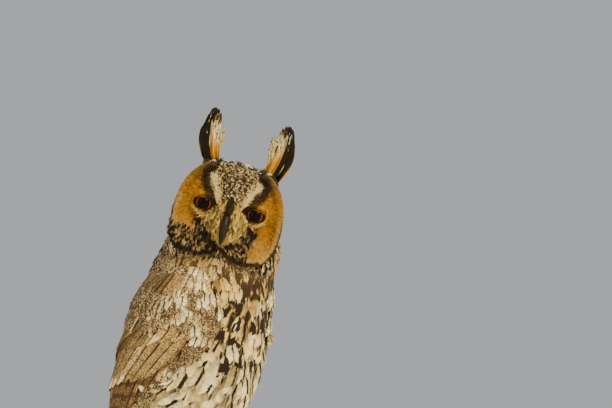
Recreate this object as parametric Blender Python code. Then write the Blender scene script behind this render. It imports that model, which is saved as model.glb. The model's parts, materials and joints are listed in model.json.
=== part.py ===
"""A long-eared owl at life size, perched on a cut length of branch above a plain display stand.

Metres, +Z up. The body faces -Y, so the owl's right side is towards -X, and the head is turned to its
right. The origin is the middle of the base's underside.
Run it with: blender --background --python part.py
"""

import math

import bmesh
import bpy
import numpy as np
from mathutils import Matrix, Vector

# The gap between nodes that lie against each other
GAP = 0.0003

# Where the owl is: heights below are measured from the middle of its eyes, and are negative downwards
EYE_HEIGHT = 0.316
HEAD_Y = -0.046
# How far the turned head reaches out over the throat, the way that it looks
HEAD_REACH = 0.013

# Head, turned to the owl's right, tipped sideways and a little down
HEAD_TURN = math.radians(-48)
HEAD_ROLL = math.radians(14.5)
HEAD_PITCH = math.radians(3)
FACE_RIM_Y = -0.019
NAPE_Y = 0.050
# Outline of the facial discs: degrees from straight up, and distance from the middle of the eyes
FACE_OUTLINE = (
    (0, 0.0370), (20, 0.0405), (36, 0.0458), (62, 0.0474), (90, 0.0485),
    (112, 0.0528), (133, 0.0580), (152, 0.0500), (180, 0.0400),
)
EYE_APART = 0.0228
EYE_DEPTH_Y = -0.0205
EYE_RADIUS = 0.0095
LID_THICKNESS = 0.0011
EYE_OPENING = (0.0080, 0.0054)

# Bill: height, distance in front, half width and half depth along its ridge
BILL = (
    (-0.0020, -0.0262, 0.0038, 0.0040),
    (-0.0080, -0.0325, 0.0050, 0.0055),
    (-0.0150, -0.0362, 0.0052, 0.0058),
    (-0.0220, -0.0368, 0.0043, 0.0048),
    (-0.0280, -0.0352, 0.0024, 0.0028),
    (-0.0314, -0.0334, 0.0007, 0.0008),
)
LOWER_BILL = (
    (-0.0150, -0.0270, 0.0036, 0.0030),
    (-0.0210, -0.0300, 0.0036, 0.0026),
    (-0.0255, -0.0315, 0.0026, 0.0018),
    (-0.0276, -0.0320, 0.0009, 0.0007),
)
NOSTRIL_RADIUS = 0.0009

# Ear tuft core: height, distance to the side, half width and half thickness
TUFT = (
    (0.0330, 0.0255, 0.0075, 0.0036),
    (0.0420, 0.0268, 0.0090, 0.0038),
    (0.0500, 0.0280, 0.0074, 0.0030),
    (0.0560, 0.0290, 0.0030, 0.0014),
)
TUFT_Y = 0.001
TUFT_LEAN_BACK = 0.10
# Its feathers: place of the root and of the tip to the side, height of the tip, half width, place in depth
TUFT_VANES = (
    (0.0205, 0.0215, 0.0640, 0.0042, 0.0004),
    (0.0228, 0.0258, 0.0750, 0.0046, -0.0014),
    (0.0252, 0.0300, 0.0812, 0.0050, 0.0000),
    (0.0275, 0.0334, 0.0820, 0.0048, 0.0014),
    (0.0296, 0.0356, 0.0765, 0.0044, 0.0000),
    (0.0312, 0.0368, 0.0680, 0.0038, -0.0014),
    (0.0262, 0.0300, 0.0700, 0.0056, 0.0030),
)
TUFT_ROOT = 0.0350
TUFT_BOW = 0.0042
TUFT_OUTLINE = ((0.0, 0.60), (0.45, 1.0), (0.84, 0.80), (1.0, 0.22))
# How thick its feathers are at root and tip, as shares of a vane, and how far their edges curl back
TUFT_THICKNESS = (1.1, 0.4)
TUFT_CUP = 0.0003

# Body sections: height, distance back from the head's middle, half width and half depth
BODY = (
    (0.005, 0.004, 0.036, 0.036),
    (-0.010, 0.006, 0.042, 0.041),
    (-0.025, 0.010, 0.0500, 0.0492),
    (-0.040, 0.0155, 0.0545, 0.0545),
    (-0.055, 0.0202, 0.0555, 0.0555),
    (-0.078, 0.0275, 0.0548, 0.0540),
    (-0.105, 0.0335, 0.0555, 0.0540),
    (-0.124, 0.0410, 0.0585, 0.0570),
    (-0.148, 0.0505, 0.0590, 0.0580),
    (-0.169, 0.0600, 0.0540, 0.0530),
    (-0.188, 0.0705, 0.0430, 0.0410),
    (-0.202, 0.0800, 0.0290, 0.0275),
    (-0.210, 0.0860, 0.0150, 0.0140),
)
NECK_BASE = -0.055
# Sections of the body and the wings that lie on it are cut at the same levels
LEVEL = 0.0105
# The body draws in below the chin: share of its radius, width in degrees, and the heights it fades between
THROAT_DEPTH = 0.32
THROAT_WIDTH = 58
THROAT_FADE = (-0.078, -0.036)
# The neck leans with the turned head between these heights
NECK_LEAN = (-0.075, -0.005)

# The bed that the folded wings lie on follows the body, then narrows over the tail
WING_BED = BODY[1:9] + (
    (-0.169, 0.0605, 0.0560, 0.0560),
    (-0.200, 0.0800, 0.0480, 0.0440),
    (-0.230, 0.0990, 0.0400, 0.0310),
    (-0.260, 0.1160, 0.0330, 0.0180),
    (-0.288, 0.1300, 0.0300, 0.0100),
)
# Wing: height, angle of its upper edge and of its front edge from the middle of the back, thickness
WING_RIGHT = (
    (-0.044, 66, 106, 0.0016),
    (-0.052, 52, 122, 0.0042),
    (-0.062, 40, 134, 0.0066),
    (-0.078, 28, 142, 0.0085),
    (-0.095, 20, 146, 0.0092),
    (-0.112, 15, 143, 0.0088),
    (-0.127, 12, 130, 0.0080),
    (-0.145, 10, 117, 0.0072),
    (-0.170, 8, 105, 0.0062),
    (-0.200, 6, 95, 0.0050),
    (-0.230, 5, 88, 0.0042),
    (-0.260, 6, 80, 0.0034),
    (-0.284, 18, 62, 0.0022),
)
WING_LEFT_FRONT = 118
WING_LIFT = 0.0011
WING_CORE_END = -0.270
WING_SKIN = 0.0010

# The core is cut at its top, at these counts of levels below the neck, and at its end
WING_LEVELS = (-1, 0, 1, 3, 5, 7, 9, 11, 13, 15, 17, 19)
WING_POINTS_ACROSS = 8
WING_ROUNDING = 0.6

# Tiers of wing feathers, each lying over the one before it: primaries, secondaries, primary coverts,
# greater coverts, median coverts and scapulars. Count, half width, lift over the wing's core, then root
# heights, tip heights, root shares and tip shares for the feathers nearest the back and the front.
# A share runs from 0 at the wing's upper edge to 1 at its front edge.
WING_TIERS = (
    (5, 0.0092, 0.0004, (-0.170, -0.140), (-0.288, -0.228), (0.40, 0.94), (0.30, 0.96)),
    (7, 0.0108, 0.0010, (-0.125, -0.132), (-0.232, -0.186), (0.10, 0.87), (0.10, 0.85)),
    (3, 0.0082, 0.0015, (-0.100, -0.098), (-0.176, -0.1275), (0.72, 0.90), (0.84, 0.97)),
    (6, 0.0098, 0.0021, (-0.100, -0.098), (-0.166, -0.148), (0.14, 0.78), (0.11, 0.80)),
    (5, 0.0092, 0.0028, (-0.078, -0.076), (-0.128, -0.114), (0.32, 0.86), (0.28, 0.88)),
    (5, 0.0110, 0.0034, (-0.056, -0.058), (-0.140, -0.102), (0.16, 0.60), (0.09, 0.50)),
)
# How much the feathers of a tier differ in length, and in width as a share
WING_UNEVEN = 0.0015
WING_UNEVEN_WIDTH = (0.94, 1.06)
# Widths along a vane, from its root to its tip, as shares of its half width
VANE_OUTLINE = ((0.0, 0.62), (0.40, 0.98), (0.82, 0.86), (1.0, 0.20))
VANE_THICKNESS = 0.0008
# How far a vane's root is sunk and over which share of it, and how much one edge stands over its neighbour
VANE_SINK = 0.0030
VANE_SUNK_SHARE = 0.30
VANE_TILT = 0.0008
VANE_FREE = 0.80
VANE_BED = 0.0030

# Tail core: height, distance back, half width and half thickness
TAIL = (
    (-0.180, 0.0760, 0.0160, 0.0060),
    (-0.205, 0.0905, 0.0190, 0.0048),
    (-0.235, 0.1050, 0.0200, 0.0026),
    (-0.262, 0.1176, 0.0180, 0.0012),
)
# Tail feathers: six on each side, the middle pair on top, fanned a little
TAIL_LINE = ((-0.192, 0.0835), (-0.205, 0.0905), (-0.235, 0.1050), (-0.265, 0.1190), (-0.293, 0.1318))
TAIL_TOP = 0.0020
TAIL_PAIRS = 6
TAIL_ROOT = -0.192
TAIL_TIP = -0.293
TAIL_SPREAD = (0.0020, 0.0029)
TAIL_HALF_WIDTH = 0.0105
TAIL_LAYER = 0.00060
TAIL_ROUNDED = 0.0011
# The way out from the tail's upper side, the drop of a vane's edges, and its widths from root to tip
TAIL_OUT = Vector((0, 0.90, 0.43))
TAIL_EDGE_DROP = 0.0006
TAIL_OUTLINE = ((0.0, 0.791), (0.40, 0.989), (0.82, 0.923), (1.0, 0.308))

# Legs and feet on the perch
LEG_APART = 0.0190
PERCH_Y = 0.044
PERCH_TOP = -0.213
PERCH_RADIUS = 0.0145
PERCH_LENGTH = 0.170
PERCH_SIDES = 16
LEG = (
    (-0.160, 0.0470, 0.0225, 0.0235),
    (-0.178, 0.0455, 0.0190, 0.0200),
    (-0.192, 0.0445, 0.0130, 0.0140),
    (-0.2015, 0.0440, 0.0086, 0.0090),
)
ANKLE = -0.2015
FOOT_RADIUS = 0.0092
ANKLE_RADIUS = 0.0080
TOE_RADIUS = 0.0042
CLAW_RADIUS = 0.0020
TOE_START = 90
# Toes: name, sideways place on the perch, splay, and the angles round the perch of toe end and claw tip
TOES = (
    ("inner", -0.0055, -0.0040, 8, -42),
    ("middle", 0.0050, 0.0030, 2, -48),
    ("outer", 0.0085, 0.0085, 168, 214),
    ("hind", -0.0040, -0.0030, 166, 212),
)

# Stand
BASE_RADIUS = 0.115
BASE_HEIGHT = 0.012
BASE_BEVEL = 0.002
ROD_RADIUS = 0.004
ROD_APART = 0.048
ROD_SOCKET = 0.009

COLOURS = {
    "plumage": ((0.46, 0.29, 0.13), 0.9, 0.0),
    "face": ((0.60, 0.33, 0.10), 0.9, 0.0),
    "wing": ((0.33, 0.23, 0.13), 0.9, 0.0),
    "tuft": ((0.10, 0.07, 0.04), 0.9, 0.0),
    "leg": ((0.62, 0.43, 0.22), 0.9, 0.0),
    "eye": ((0.75, 0.17, 0.03), 0.1, 0.0),
    "horn": ((0.04, 0.04, 0.045), 0.35, 0.0),
    "bark": ((0.22, 0.17, 0.11), 0.85, 0.0),
    "stand": ((0.10, 0.06, 0.035), 0.45, 0.0),
    "steel": ((0.35, 0.35, 0.36), 0.3, 1.0),
}


def clear_scene():
    for item in list(bpy.data.objects):
        bpy.data.objects.remove(item)


def material(name):
    """A Principled BSDF material with the colour, roughness and metallic value of this finish."""
    found = bpy.data.materials.get(name)
    if found:
        return found
    colour, roughness, metallic = COLOURS[name]
    made = bpy.data.materials.new(name)
    made.use_nodes = True
    shader = made.node_tree.nodes["Principled BSDF"]
    shader.inputs["Base Color"].default_value = (*colour, 1)
    shader.inputs["Roughness"].default_value = roughness
    shader.inputs["Metallic"].default_value = metallic
    return made


def between(pair, share):
    """The value at a share of the way from the first of a pair to the second."""
    return pair[0] + (pair[1] - pair[0]) * share


def smooth_value(table, column, place):
    """A column of a table of sections at a place between them, on a smooth curve through its values."""
    rows = sorted(table)
    keys = [row[0] for row in rows]
    values = [row[column] for row in rows]
    place = min(max(place, keys[0]), keys[-1])
    k = min(max(int(np.searchsorted(keys, place)) - 1, 0), len(keys) - 2)
    span = keys[k + 1] - keys[k]
    share = (place - keys[k]) / span
    slopes = []
    for i in (k, k + 1):
        before, after = max(i - 1, 0), min(i + 1, len(keys) - 1)
        slopes.append((values[after] - values[before]) / (keys[after] - keys[before]))
    square, cube = share**2, share**3
    return (
        (2 * cube - 3 * square + 1) * values[k]
        + (cube - 2 * square + share) * span * slopes[0]
        + (3 * square - 2 * cube) * values[k + 1]
        + (cube - square) * span * slopes[1]
    )


def section(table, height):
    """Distance back, half width and half depth of a table's section at a height."""
    return tuple(smooth_value(table, column, height) for column in (1, 2, 3))


def face_out(shaped):
    """Turns the faces of a closed bmesh outwards."""
    bmesh.ops.recalc_face_normals(shaped, faces=shaped.faces)
    if shaped.calc_volume(signed=True) < 0:
        bmesh.ops.reverse_faces(shaped, faces=shaped.faces)


def mesh_object(name, points, faces, finish, collection=None):
    """A mesh object with its faces pointing out, in the owl's collection unless another is given."""
    mesh = bpy.data.meshes.new(name)
    mesh.from_pydata([tuple(p) for p in points], [], faces)
    shaped = bmesh.new()
    shaped.from_mesh(mesh)
    face_out(shaped)
    shaped.to_mesh(mesh)
    shaped.free()
    mesh.materials.append(material(finish))
    made = bpy.data.objects.new(name, mesh)
    (collection or OWL).objects.link(made)
    return made


def loft(rings):
    """Points and faces of a closed body through rings of equal point counts."""
    count = len(rings[0])
    points = [tuple(p) for ring in rings for p in ring]
    faces = [tuple(range(count))]
    for k in range(len(rings) - 1):
        low, high = k * count, (k + 1) * count
        for i in range(count):
            j = (i + 1) % count
            faces.append((low + i, low + j, high + j, high + i))
    last = (len(rings) - 1) * count
    faces.append(tuple(range(last, last + count)))
    return points, faces


def vane(name, lower, upper, finish, collection):
    """A thin closed vane from rows of points on its two faces, which are cut alike into triangles."""
    rows, across = len(lower), len(lower[0])
    points = [tuple(p) for row in lower + upper for p in row]
    top = rows * across
    faces = []
    for k in range(rows - 1):
        for i in range(across - 1):
            a, b = k * across + i, k * across + i + 1
            c, d = a + across, b + across
            halves = ((a, c, b), (c, d, b)) if i < (across - 1) / 2 else ((a, d, b), (a, c, d))
            for half in halves:
                faces.append(half)
                faces.append(tuple(top + corner for corner in reversed(half)))
    rim = [k * across for k in range(rows)]
    rim += [(rows - 1) * across + i for i in range(1, across)]
    rim += [k * across + across - 1 for k in range(rows - 2, -1, -1)]
    rim += [i for i in range(across - 2, 0, -1)]
    for k, corner in enumerate(rim):
        following = rim[(k + 1) % len(rim)]
        faces += [(corner, following, top + following), (corner, top + following, top + corner)]
    return mesh_object(name, points, faces, finish, collection)


def join_vanes(core, vanes):
    """Fuses a node's vanes with its core."""
    apply_boolean(core, "UNION", vanes, "MANIFOLD")
    for item in list(vanes.objects):
        bpy.data.objects.remove(item)
    keep_largest(core)


def cutters(name):
    """An empty collection for a node's pieces, inside the cutters' collection."""
    made = bpy.data.collections.new(name)
    CUTTERS.children.link(made)
    return made


def apply_boolean(target, operation, other, solver="EXACT"):
    """Cuts or joins the other object, or all of a collection, and applies the result."""
    modifier = target.modifiers.new(operation.lower(), "BOOLEAN")
    modifier.operation = operation
    modifier.solver = solver
    if isinstance(other, bpy.types.Collection):
        modifier.operand_type = "COLLECTION"
        modifier.collection = other
    else:
        modifier.object = other
    bpy.context.view_layer.update()
    graph = bpy.context.evaluated_depsgraph_get()
    made = bpy.data.meshes.new_from_object(target.evaluated_get(graph))
    target.modifiers.clear()
    target.data = made


def keep_largest(target):
    """Keeps the largest closed surface of a node."""
    shaped = bmesh.new()
    shaped.from_mesh(target.data)
    bmesh.ops.triangulate(shaped, faces=shaped.faces)
    left = set(shaped.verts)
    groups = []
    while left:
        reached = {left.pop()}
        edge_of_search = list(reached)
        while edge_of_search:
            vertex = edge_of_search.pop()
            for edge in vertex.link_edges:
                other = edge.other_vert(vertex)
                if other in left:
                    left.discard(other)
                    reached.add(other)
                    edge_of_search.append(other)
        groups.append(reached)

    def volume(group):
        faces = {face for vertex in group for face in vertex.link_faces}
        corners = [[loop.vert.co for loop in face.loops] for face in faces]
        return sum(a.dot(b.cross(c)) for a, b, c in corners)

    groups.sort(key=volume, reverse=True)
    for group in groups[1:]:
        bmesh.ops.delete(shaped, geom=list(group), context="VERTS")
    shaped.to_mesh(target.data)
    shaped.free()


def swollen(source, by=GAP):
    """A cutter: a copy of a form with its surface moved out by the clearance."""
    mesh = source.data.copy()
    shaped = bmesh.new()
    shaped.from_mesh(mesh)
    shaped.normal_update()
    moved = [(vertex, vertex.co + vertex.normal * by) for vertex in shaped.verts]
    for vertex, place in moved:
        vertex.co = place
    shaped.to_mesh(mesh)
    shaped.free()
    cutter = bpy.data.objects.new(source.name + "_clearance", mesh)
    CUTTERS.objects.link(cutter)
    cutter.hide_render = True
    cutter.display_type = "WIRE"
    return cutter


def cut_clear(target, *cutters):
    """Takes the cutters away from a node and keeps its main body."""
    for cutter in cutters:
        apply_boolean(target, "DIFFERENCE", cutter, "MANIFOLD")
    keep_largest(target)


def head_matrix():
    """From the head's own frame, facing -Y with its eyes level, to its turned place."""
    turn = Matrix.Rotation(HEAD_TURN, 4, "Z")
    roll = Matrix.Rotation(HEAD_ROLL, 4, "Y")
    pitch = Matrix.Rotation(HEAD_PITCH, 4, "X")
    reach = turn @ Vector((0, -HEAD_REACH, 0))
    return Matrix.Translation(Vector((0, HEAD_Y, EYE_HEIGHT)) + reach) @ turn @ roll @ pitch


def placed(x, back, height):
    """A point from sideways place, distance back from the head's middle and height from the eyes."""
    return Vector((x, HEAD_Y + back, EYE_HEIGHT + height))


def face_radius(around):
    """Distance from the middle of the eyes to the rim of the face, at an angle from straight up."""
    return smooth_value(FACE_OUTLINE, 1, abs(math.degrees(around)))


def face_y(x, z):
    """How far forward the face stands: dished discs, a raised rim, and the ridge between the eyes."""
    reach = math.hypot(x, z)
    share = reach / face_radius(math.atan2(x, z))
    ridge = 0.0115 * math.exp(-((x / 0.0085) ** 2)) * math.exp(-(((z + 0.004) / 0.024) ** 2))
    mound = 0.0060 * math.exp(-(((abs(x) - 0.0205) ** 2 + (z * 0.9) ** 2) / 0.0125**2))
    cheek = 0.0040 * math.exp(-(((abs(x) - 0.012) / 0.009) ** 2 + ((z + 0.018) / 0.012) ** 2))
    rim = 0.0032 * math.exp(-(((share - 0.90) / 0.09) ** 2))
    dome = 0.0035 * max(0.0, 1 - share**2)
    return FACE_RIM_Y - dome - ridge - mound - cheek - rim


def head_point(polar, around):
    """A point of the head's surface, from the angle off the face's middle and the angle from up."""
    front = math.radians(72)
    radius = face_radius(around)
    if polar <= front:
        reach = radius * 0.97 * math.sin(polar / front * math.pi / 2) ** 0.9
        x, z = reach * math.sin(around), reach * math.cos(around)
        return Vector((x, face_y(x, z), z))
    share = (polar - front) / (math.pi - front)
    rounder = 0.0475 - 0.0015 * math.cos(around)
    mix = min(1.0, share * 1.8)
    mix = mix * mix * (3 - 2 * mix)
    swell = 1 + 0.03 * math.sin(math.pi * min(1.0, share * 6))
    width = (radius * 0.97 * (1 - mix) + rounder * mix) * swell
    reach = width * max(0.0, math.cos(share * math.pi / 2)) ** 0.55
    x, z = reach * math.sin(around), reach * math.cos(around)
    start_y = face_y(radius * 0.97 * math.sin(around), radius * 0.97 * math.cos(around))
    return Vector((x, start_y + (NAPE_Y - start_y) * math.sin(share * math.pi / 2) ** 1.15, z))


def head_form():
    """The feathered head as one sphere, shaped, with its poles at the face and the nape."""
    shaped = bmesh.new()
    bmesh.ops.create_uvsphere(shaped, u_segments=32, v_segments=22, radius=1)
    for vertex in shaped.verts:
        x, z, y = vertex.co
        polar = math.acos(min(1.0, max(-1.0, -y)))
        vertex.co = head_point(polar, math.atan2(x, z))
    face_out(shaped)
    bmesh.ops.triangulate(shaped, faces=shaped.faces)
    mesh = bpy.data.meshes.new("head")
    shaped.to_mesh(mesh)
    shaped.free()
    mesh.transform(head_matrix())
    mesh.materials.append(material("face"))
    made = bpy.data.objects.new("head", mesh)
    OWL.objects.link(made)
    return made


def ball(name, centre, radius, finish, collection=None, segments=16):
    """A sphere whose centre is given in the head's own frame."""
    shaped = bmesh.new()
    bmesh.ops.create_uvsphere(shaped, u_segments=segments, v_segments=segments // 2 + 2, radius=radius)
    bmesh.ops.transform(shaped, matrix=Matrix.Rotation(math.pi / 2, 4, "X"), verts=shaped.verts)
    bmesh.ops.translate(shaped, vec=centre, verts=shaped.verts)
    mesh = bpy.data.meshes.new(name)
    shaped.to_mesh(mesh)
    shaped.free()
    mesh.transform(head_matrix())
    mesh.materials.append(material(finish))
    made = bpy.data.objects.new(name, mesh)
    (collection or OWL).objects.link(made)
    return made


def rod(name, start, end, radius, finish, collection=None, sides=16, end_radius=None):
    """A straight round bar between two points."""
    start, end = Vector(start), Vector(end)
    shaped = bmesh.new()
    bmesh.ops.create_cone(
        shaped, cap_ends=True, segments=sides, depth=(end - start).length,
        radius1=radius, radius2=radius if end_radius is None else end_radius,
    )
    turn = (end - start).to_track_quat("Z", "Y").to_matrix().to_4x4()
    bmesh.ops.transform(shaped, matrix=Matrix.Translation((start + end) / 2) @ turn, verts=shaped.verts)
    mesh = bpy.data.meshes.new(name)
    shaped.to_mesh(mesh)
    shaped.free()
    mesh.materials.append(material(finish))
    made = bpy.data.objects.new(name, mesh)
    (collection or OWL).objects.link(made)
    return made


def ellipse(centre, across, over, count, power=1.0):
    """A ring of points round a centre, between two half axes."""
    ring = []
    for i in range(count):
        turn = 2 * math.pi * i / count
        c, s = math.cos(turn), math.sin(turn)
        c = math.copysign(abs(c) ** power, c)
        s = math.copysign(abs(s) ** power, s)
        ring.append(centre + across * c + over * s)
    return ring


def head_part(name, rings, finish):
    """A lofted piece made in the head's own frame and put in its turned place."""
    points, faces = loft(rings)
    made = mesh_object(name, points, faces, finish)
    made.data.transform(head_matrix())
    return made


def bill_rings(table, sides):
    rings = []
    for height, front, half_width, half_depth in table:
        centre = Vector((0, front, height))
        lean = Vector((0, half_depth, -half_depth * 0.35))
        rings.append(ellipse(centre, Vector((half_width, 0, 0)), lean, sides))
    return rings


def bill(head_clear):
    """The hooked upper bill with nostrils, and the lower bill behind it across the line of the mouth."""
    upper = head_part("bill_upper", bill_rings(BILL, 14), "horn")
    lower = head_part("bill_lower", bill_rings(LOWER_BILL, 12), "horn")
    cut_clear(lower, swollen(upper), head_clear)
    for side in (-1, 1):
        mouth = head_matrix() @ Vector((side * 0.0064, -0.0375, -0.0105))
        inner = head_matrix() @ Vector((side * 0.0030, -0.0355, -0.0105))
        nostril = rod("nostril", mouth, inner, NOSTRIL_RADIUS, "horn", CUTTERS, 8)
        nostril.hide_render = True
        apply_boolean(upper, "DIFFERENCE", nostril, "MANIFOLD")
    cut_clear(upper, head_clear)


def eyes(head):
    """Eyeballs in sockets, each behind a lid whose opening is wider than it is high."""
    for side in (-1, 1):
        centre = Vector((side * EYE_APART, EYE_DEPTH_Y, 0))
        lid = ball("lid", centre, EYE_RADIUS + LID_THICKNESS + GAP, "face", CUTTERS)
        lid.hide_render = True
        apply_boolean(head, "UNION", lid, "MANIFOLD")
    for side, name in ((-1, "right"), (1, "left")):
        centre = Vector((side * EYE_APART, EYE_DEPTH_Y, 0))
        wide, high = EYE_OPENING
        front = Vector((0, -0.030, 0))
        rings = [
            ellipse(centre + front * share, Vector((wide, 0, 0)), Vector((0, 0, high)), 20)
            for share in (0, 1)
        ]
        points, faces = loft(rings)
        opening = mesh_object("eye_opening", points, faces, "face", CUTTERS)
        opening.data.transform(head_matrix())
        socket = ball("eye_socket", centre, EYE_RADIUS + GAP, "face", CUTTERS)
        opening.hide_render = True
        socket.hide_render = True
        apply_boolean(head, "DIFFERENCE", opening, "MANIFOLD")
        apply_boolean(head, "DIFFERENCE", socket, "MANIFOLD")
        ball("eye_" + name, centre, EYE_RADIUS, "eye")
    keep_largest(head)


def tuft_vane(side, row, vanes):
    """One upright feather of a tuft, bowed outwards, with its root sunk in the tuft's core."""
    root, tip, tip_height, half_width, depth = row
    lower = []
    upper = []
    for share, width in TUFT_OUTLINE:
        height = between((TUFT_ROOT, tip_height), share)
        out = between((root, tip), share) + TUFT_BOW * math.sin(math.pi * share)
        back = TUFT_Y + (height - TUFT[0][0]) * TUFT_LEAN_BACK + depth * (0.4 + 0.6 * share)
        thick = VANE_THICKNESS / 2 * between(TUFT_THICKNESS, share**2)
        columns = ((-half_width * width, TUFT_CUP), (0.0, 0.0), (half_width * width, TUFT_CUP))
        lower.append([Vector((side * (out + x), back + cup + thick, height)) for x, cup in columns])
        upper.append([Vector((side * (out + x), back + cup - thick, height)) for x, cup in columns])
    vane("tuft_vane", lower, upper, "tuft", vanes).data.transform(head_matrix())


def ear_tufts(head_clear):
    """Each tuft stands on the head behind the upper edge of its facial disc."""
    for side, name in ((-1, "right"), (1, "left")):
        rings = []
        for height, out, half_width, half_depth in TUFT:
            back = TUFT_Y + (height - TUFT[0][0]) * TUFT_LEAN_BACK
            centre = Vector((side * out, back, height))
            rings.append(ellipse(centre, Vector((half_width, 0, 0)), Vector((0, half_depth, 0)), 12))
        tuft = head_part("ear_tuft_" + name, rings, "tuft")
        vanes = cutters("tuft_vanes_" + name)
        for row in TUFT_VANES:
            tuft_vane(side, row, vanes)
        join_vanes(tuft, vanes)
        cut_clear(tuft, head_clear)


def body_point(table, height, angle, lift=0.0):
    """A point round the body at a height: the angle runs from the middle of the back to the owl's left."""
    back, half_width, half_depth = section(table, height)
    off_throat = (angle + math.degrees(HEAD_TURN)) % 360 - 180
    low, high = THROAT_FADE
    fade = min(1.0, max(0.0, (height - low) / (high - low)))
    fade = fade * fade * (3 - 2 * fade)
    narrow = 1 - THROAT_DEPTH * fade * math.exp(-((off_throat / THROAT_WIDTH) ** 2))
    turn = math.radians(angle)
    low, high = NECK_LEAN
    lean = min(1.0, max(0.0, (height - low) / (high - low)))
    lean = HEAD_REACH * lean * lean * (3 - 2 * lean)
    x = (half_width * narrow + lift) * math.sin(turn) + lean * math.sin(HEAD_TURN)
    y = back + (half_depth * narrow + lift) * math.cos(turn) - lean * math.cos(HEAD_TURN)
    return placed(x, y, height)


def body_rings(table, heights, sides):
    angles = [360 * i / sides for i in range(sides)]
    return [[body_point(table, height, angle) for angle in angles] for height in heights]


def torso_and_neck(head_clear):
    """The torso up to a level cut, and the neck from there to the head."""
    heights = [NECK_BASE - GAP / 2] + [NECK_BASE - k * LEVEL for k in range(1, 15)] + [BODY[-1][0]]
    torso = mesh_object("torso", *loft(body_rings(BODY, heights, 32)), "plumage")
    heights = [NECK_BASE + GAP / 2] + [NECK_BASE + k * LEVEL for k in range(1, 6)]
    neck = mesh_object("neck", *loft(body_rings(BODY, heights, 32)), "plumage")
    cut_clear(neck, head_clear)
    return torso, neck


def wing_point(side, height, angle, lift):
    """A point over the bed of the folded wing, at an angle from the middle of the back."""
    return body_point(WING_BED, height, side * angle, lift)


def wing_edges(side, height):
    """Angles of a wing's upper and front edge, and its thickness, at a height."""
    start, end, thickness = (smooth_value(WING_RIGHT, column, height) for column in (1, 2, 3))
    if side > 0:
        end = min(end, WING_LEFT_FRONT)
    return start, end, thickness


def wing_surface(side, height, share, lift):
    """A point over the wing's core, at a share of the way from its upper to its front edge."""
    start, end, thickness = wing_edges(side, height)
    share = min(1.0, max(0.0, share))
    crown = math.sin(math.pi * (0.03 + 0.94 * share)) ** WING_ROUNDING
    angle = between((start, end), share)
    return wing_point(side, height, angle, WING_LIFT + WING_SKIN + thickness * crown + lift)


def wing_vane(side, root, tip, half_width, lift, vanes):
    """One feather over the wing: it rises out of the core at its root, and its tip stands free."""
    lower = []
    upper = []
    for along, width in VANE_OUTLINE:
        height = between((root[0], tip[0]), along)
        share = between((root[1], tip[1]), along)
        start, end, _ = wing_edges(side, height)
        half_round = section(WING_BED, height)[1]
        reach = half_width * width / (half_round * math.radians(end - start))
        rise = lift - VANE_SINK * max(0.0, 1 - along / VANE_SUNK_SHARE) ** 1.5
        under = lift - VANE_THICKNESS if along > VANE_FREE else -VANE_BED
        row = ((share - reach, -VANE_TILT), (share + reach, VANE_TILT))
        lower.append([wing_surface(side, height, place, min(under, rise) + tilt) for place, tilt in row])
        upper.append([wing_surface(side, height, place, rise + tilt) for place, tilt in row])
    vane("wing_vane", lower, upper, "wing", vanes)


def wing(side, name, clear):
    """The folded wing: a thin core against the body, under tiers of overlapping feathers."""
    rings = []
    shares = np.linspace(0, 1, WING_POINTS_ACROSS)
    for height in [NECK_BASE - k * LEVEL for k in WING_LEVELS] + [WING_CORE_END]:
        outer = [wing_surface(side, height, share, 0.0) for share in shares]
        start, end, _ = wing_edges(side, height)
        inner = [wing_point(side, height, between((start, end), share), WING_LIFT) for share in shares]
        rings.append(outer + inner[::-1])
    made = mesh_object("wing_" + name, *loft(rings), "wing")
    vanes = cutters("wing_vanes_" + name)
    rng = np.random.default_rng(7 if side > 0 else 5)
    for count, half_width, lift, roots, tips, root_shares, tip_shares in WING_TIERS:
        for k in range(count):
            part = k / (count - 1)
            longer = rng.uniform(-WING_UNEVEN, WING_UNEVEN)
            wide = half_width * rng.uniform(*WING_UNEVEN_WIDTH)
            root = (between(roots, part), between(root_shares, part))
            tip = (between(tips, part) + longer, between(tip_shares, part))
            wing_vane(side, root, tip, wide, lift, vanes)
    join_vanes(made, vanes)
    cut_clear(made, *clear)


def tail_vane(side, pair, vanes):
    """One tail feather: the middle pair lies on top, and each next one a layer lower."""
    layer = -TAIL_LAYER * (pair + (0.5 if side > 0 else 0.0))
    tip = TAIL_TIP + TAIL_ROUNDED * pair**1.3
    lower = []
    upper = []
    for along, width in TAIL_OUTLINE:
        height = between((TAIL_ROOT, tip), along)
        back = smooth_value(TAIL_LINE, 1, height)
        x = side * (0.4 + pair) * between(TAIL_SPREAD, along)
        half = TAIL_HALF_WIDTH * width
        thin = VANE_THICKNESS * (1.0 - 0.3 * along**3)
        for rows, rise in ((lower, layer - thin), (upper, layer)):
            columns = ((-half, TAIL_EDGE_DROP), (0.0, 0.0), (half, TAIL_EDGE_DROP))
            rows.append([placed(x + shift, back, height) + TAIL_OUT * (rise + TAIL_TOP - drop)
                         for shift, drop in columns])
    vane("tail_vane", lower, upper, "wing", vanes)


def tail(torso_clear):
    """Twelve tail feathers in layers over a core that roots them in the rump."""
    rings = []
    for height, back, half_width, half_depth in TAIL:
        centre = placed(0, back, height)
        over = Vector((0, half_depth, half_depth * 0.5))
        rings.append(ellipse(centre, Vector((half_width, 0, 0)), over, 14, 0.8))
    made = mesh_object("tail", *loft(rings), "wing")
    vanes = cutters("tail_vanes")
    for pair in range(TAIL_PAIRS):
        for side in (-1, 1):
            tail_vane(side, pair, vanes)
    join_vanes(made, vanes)
    cut_clear(made, torso_clear)


def leg(side, name, torso_clear):
    rings = []
    for height, back, half_width, half_depth in LEG:
        centre = placed(side * LEG_APART, back, height)
        rings.append(ellipse(centre, Vector((half_width, 0, 0)), Vector((0, half_depth, 0)), 16))
    made = mesh_object("leg_" + name, *loft(rings), "leg")
    cut_clear(made, torso_clear)


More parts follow.
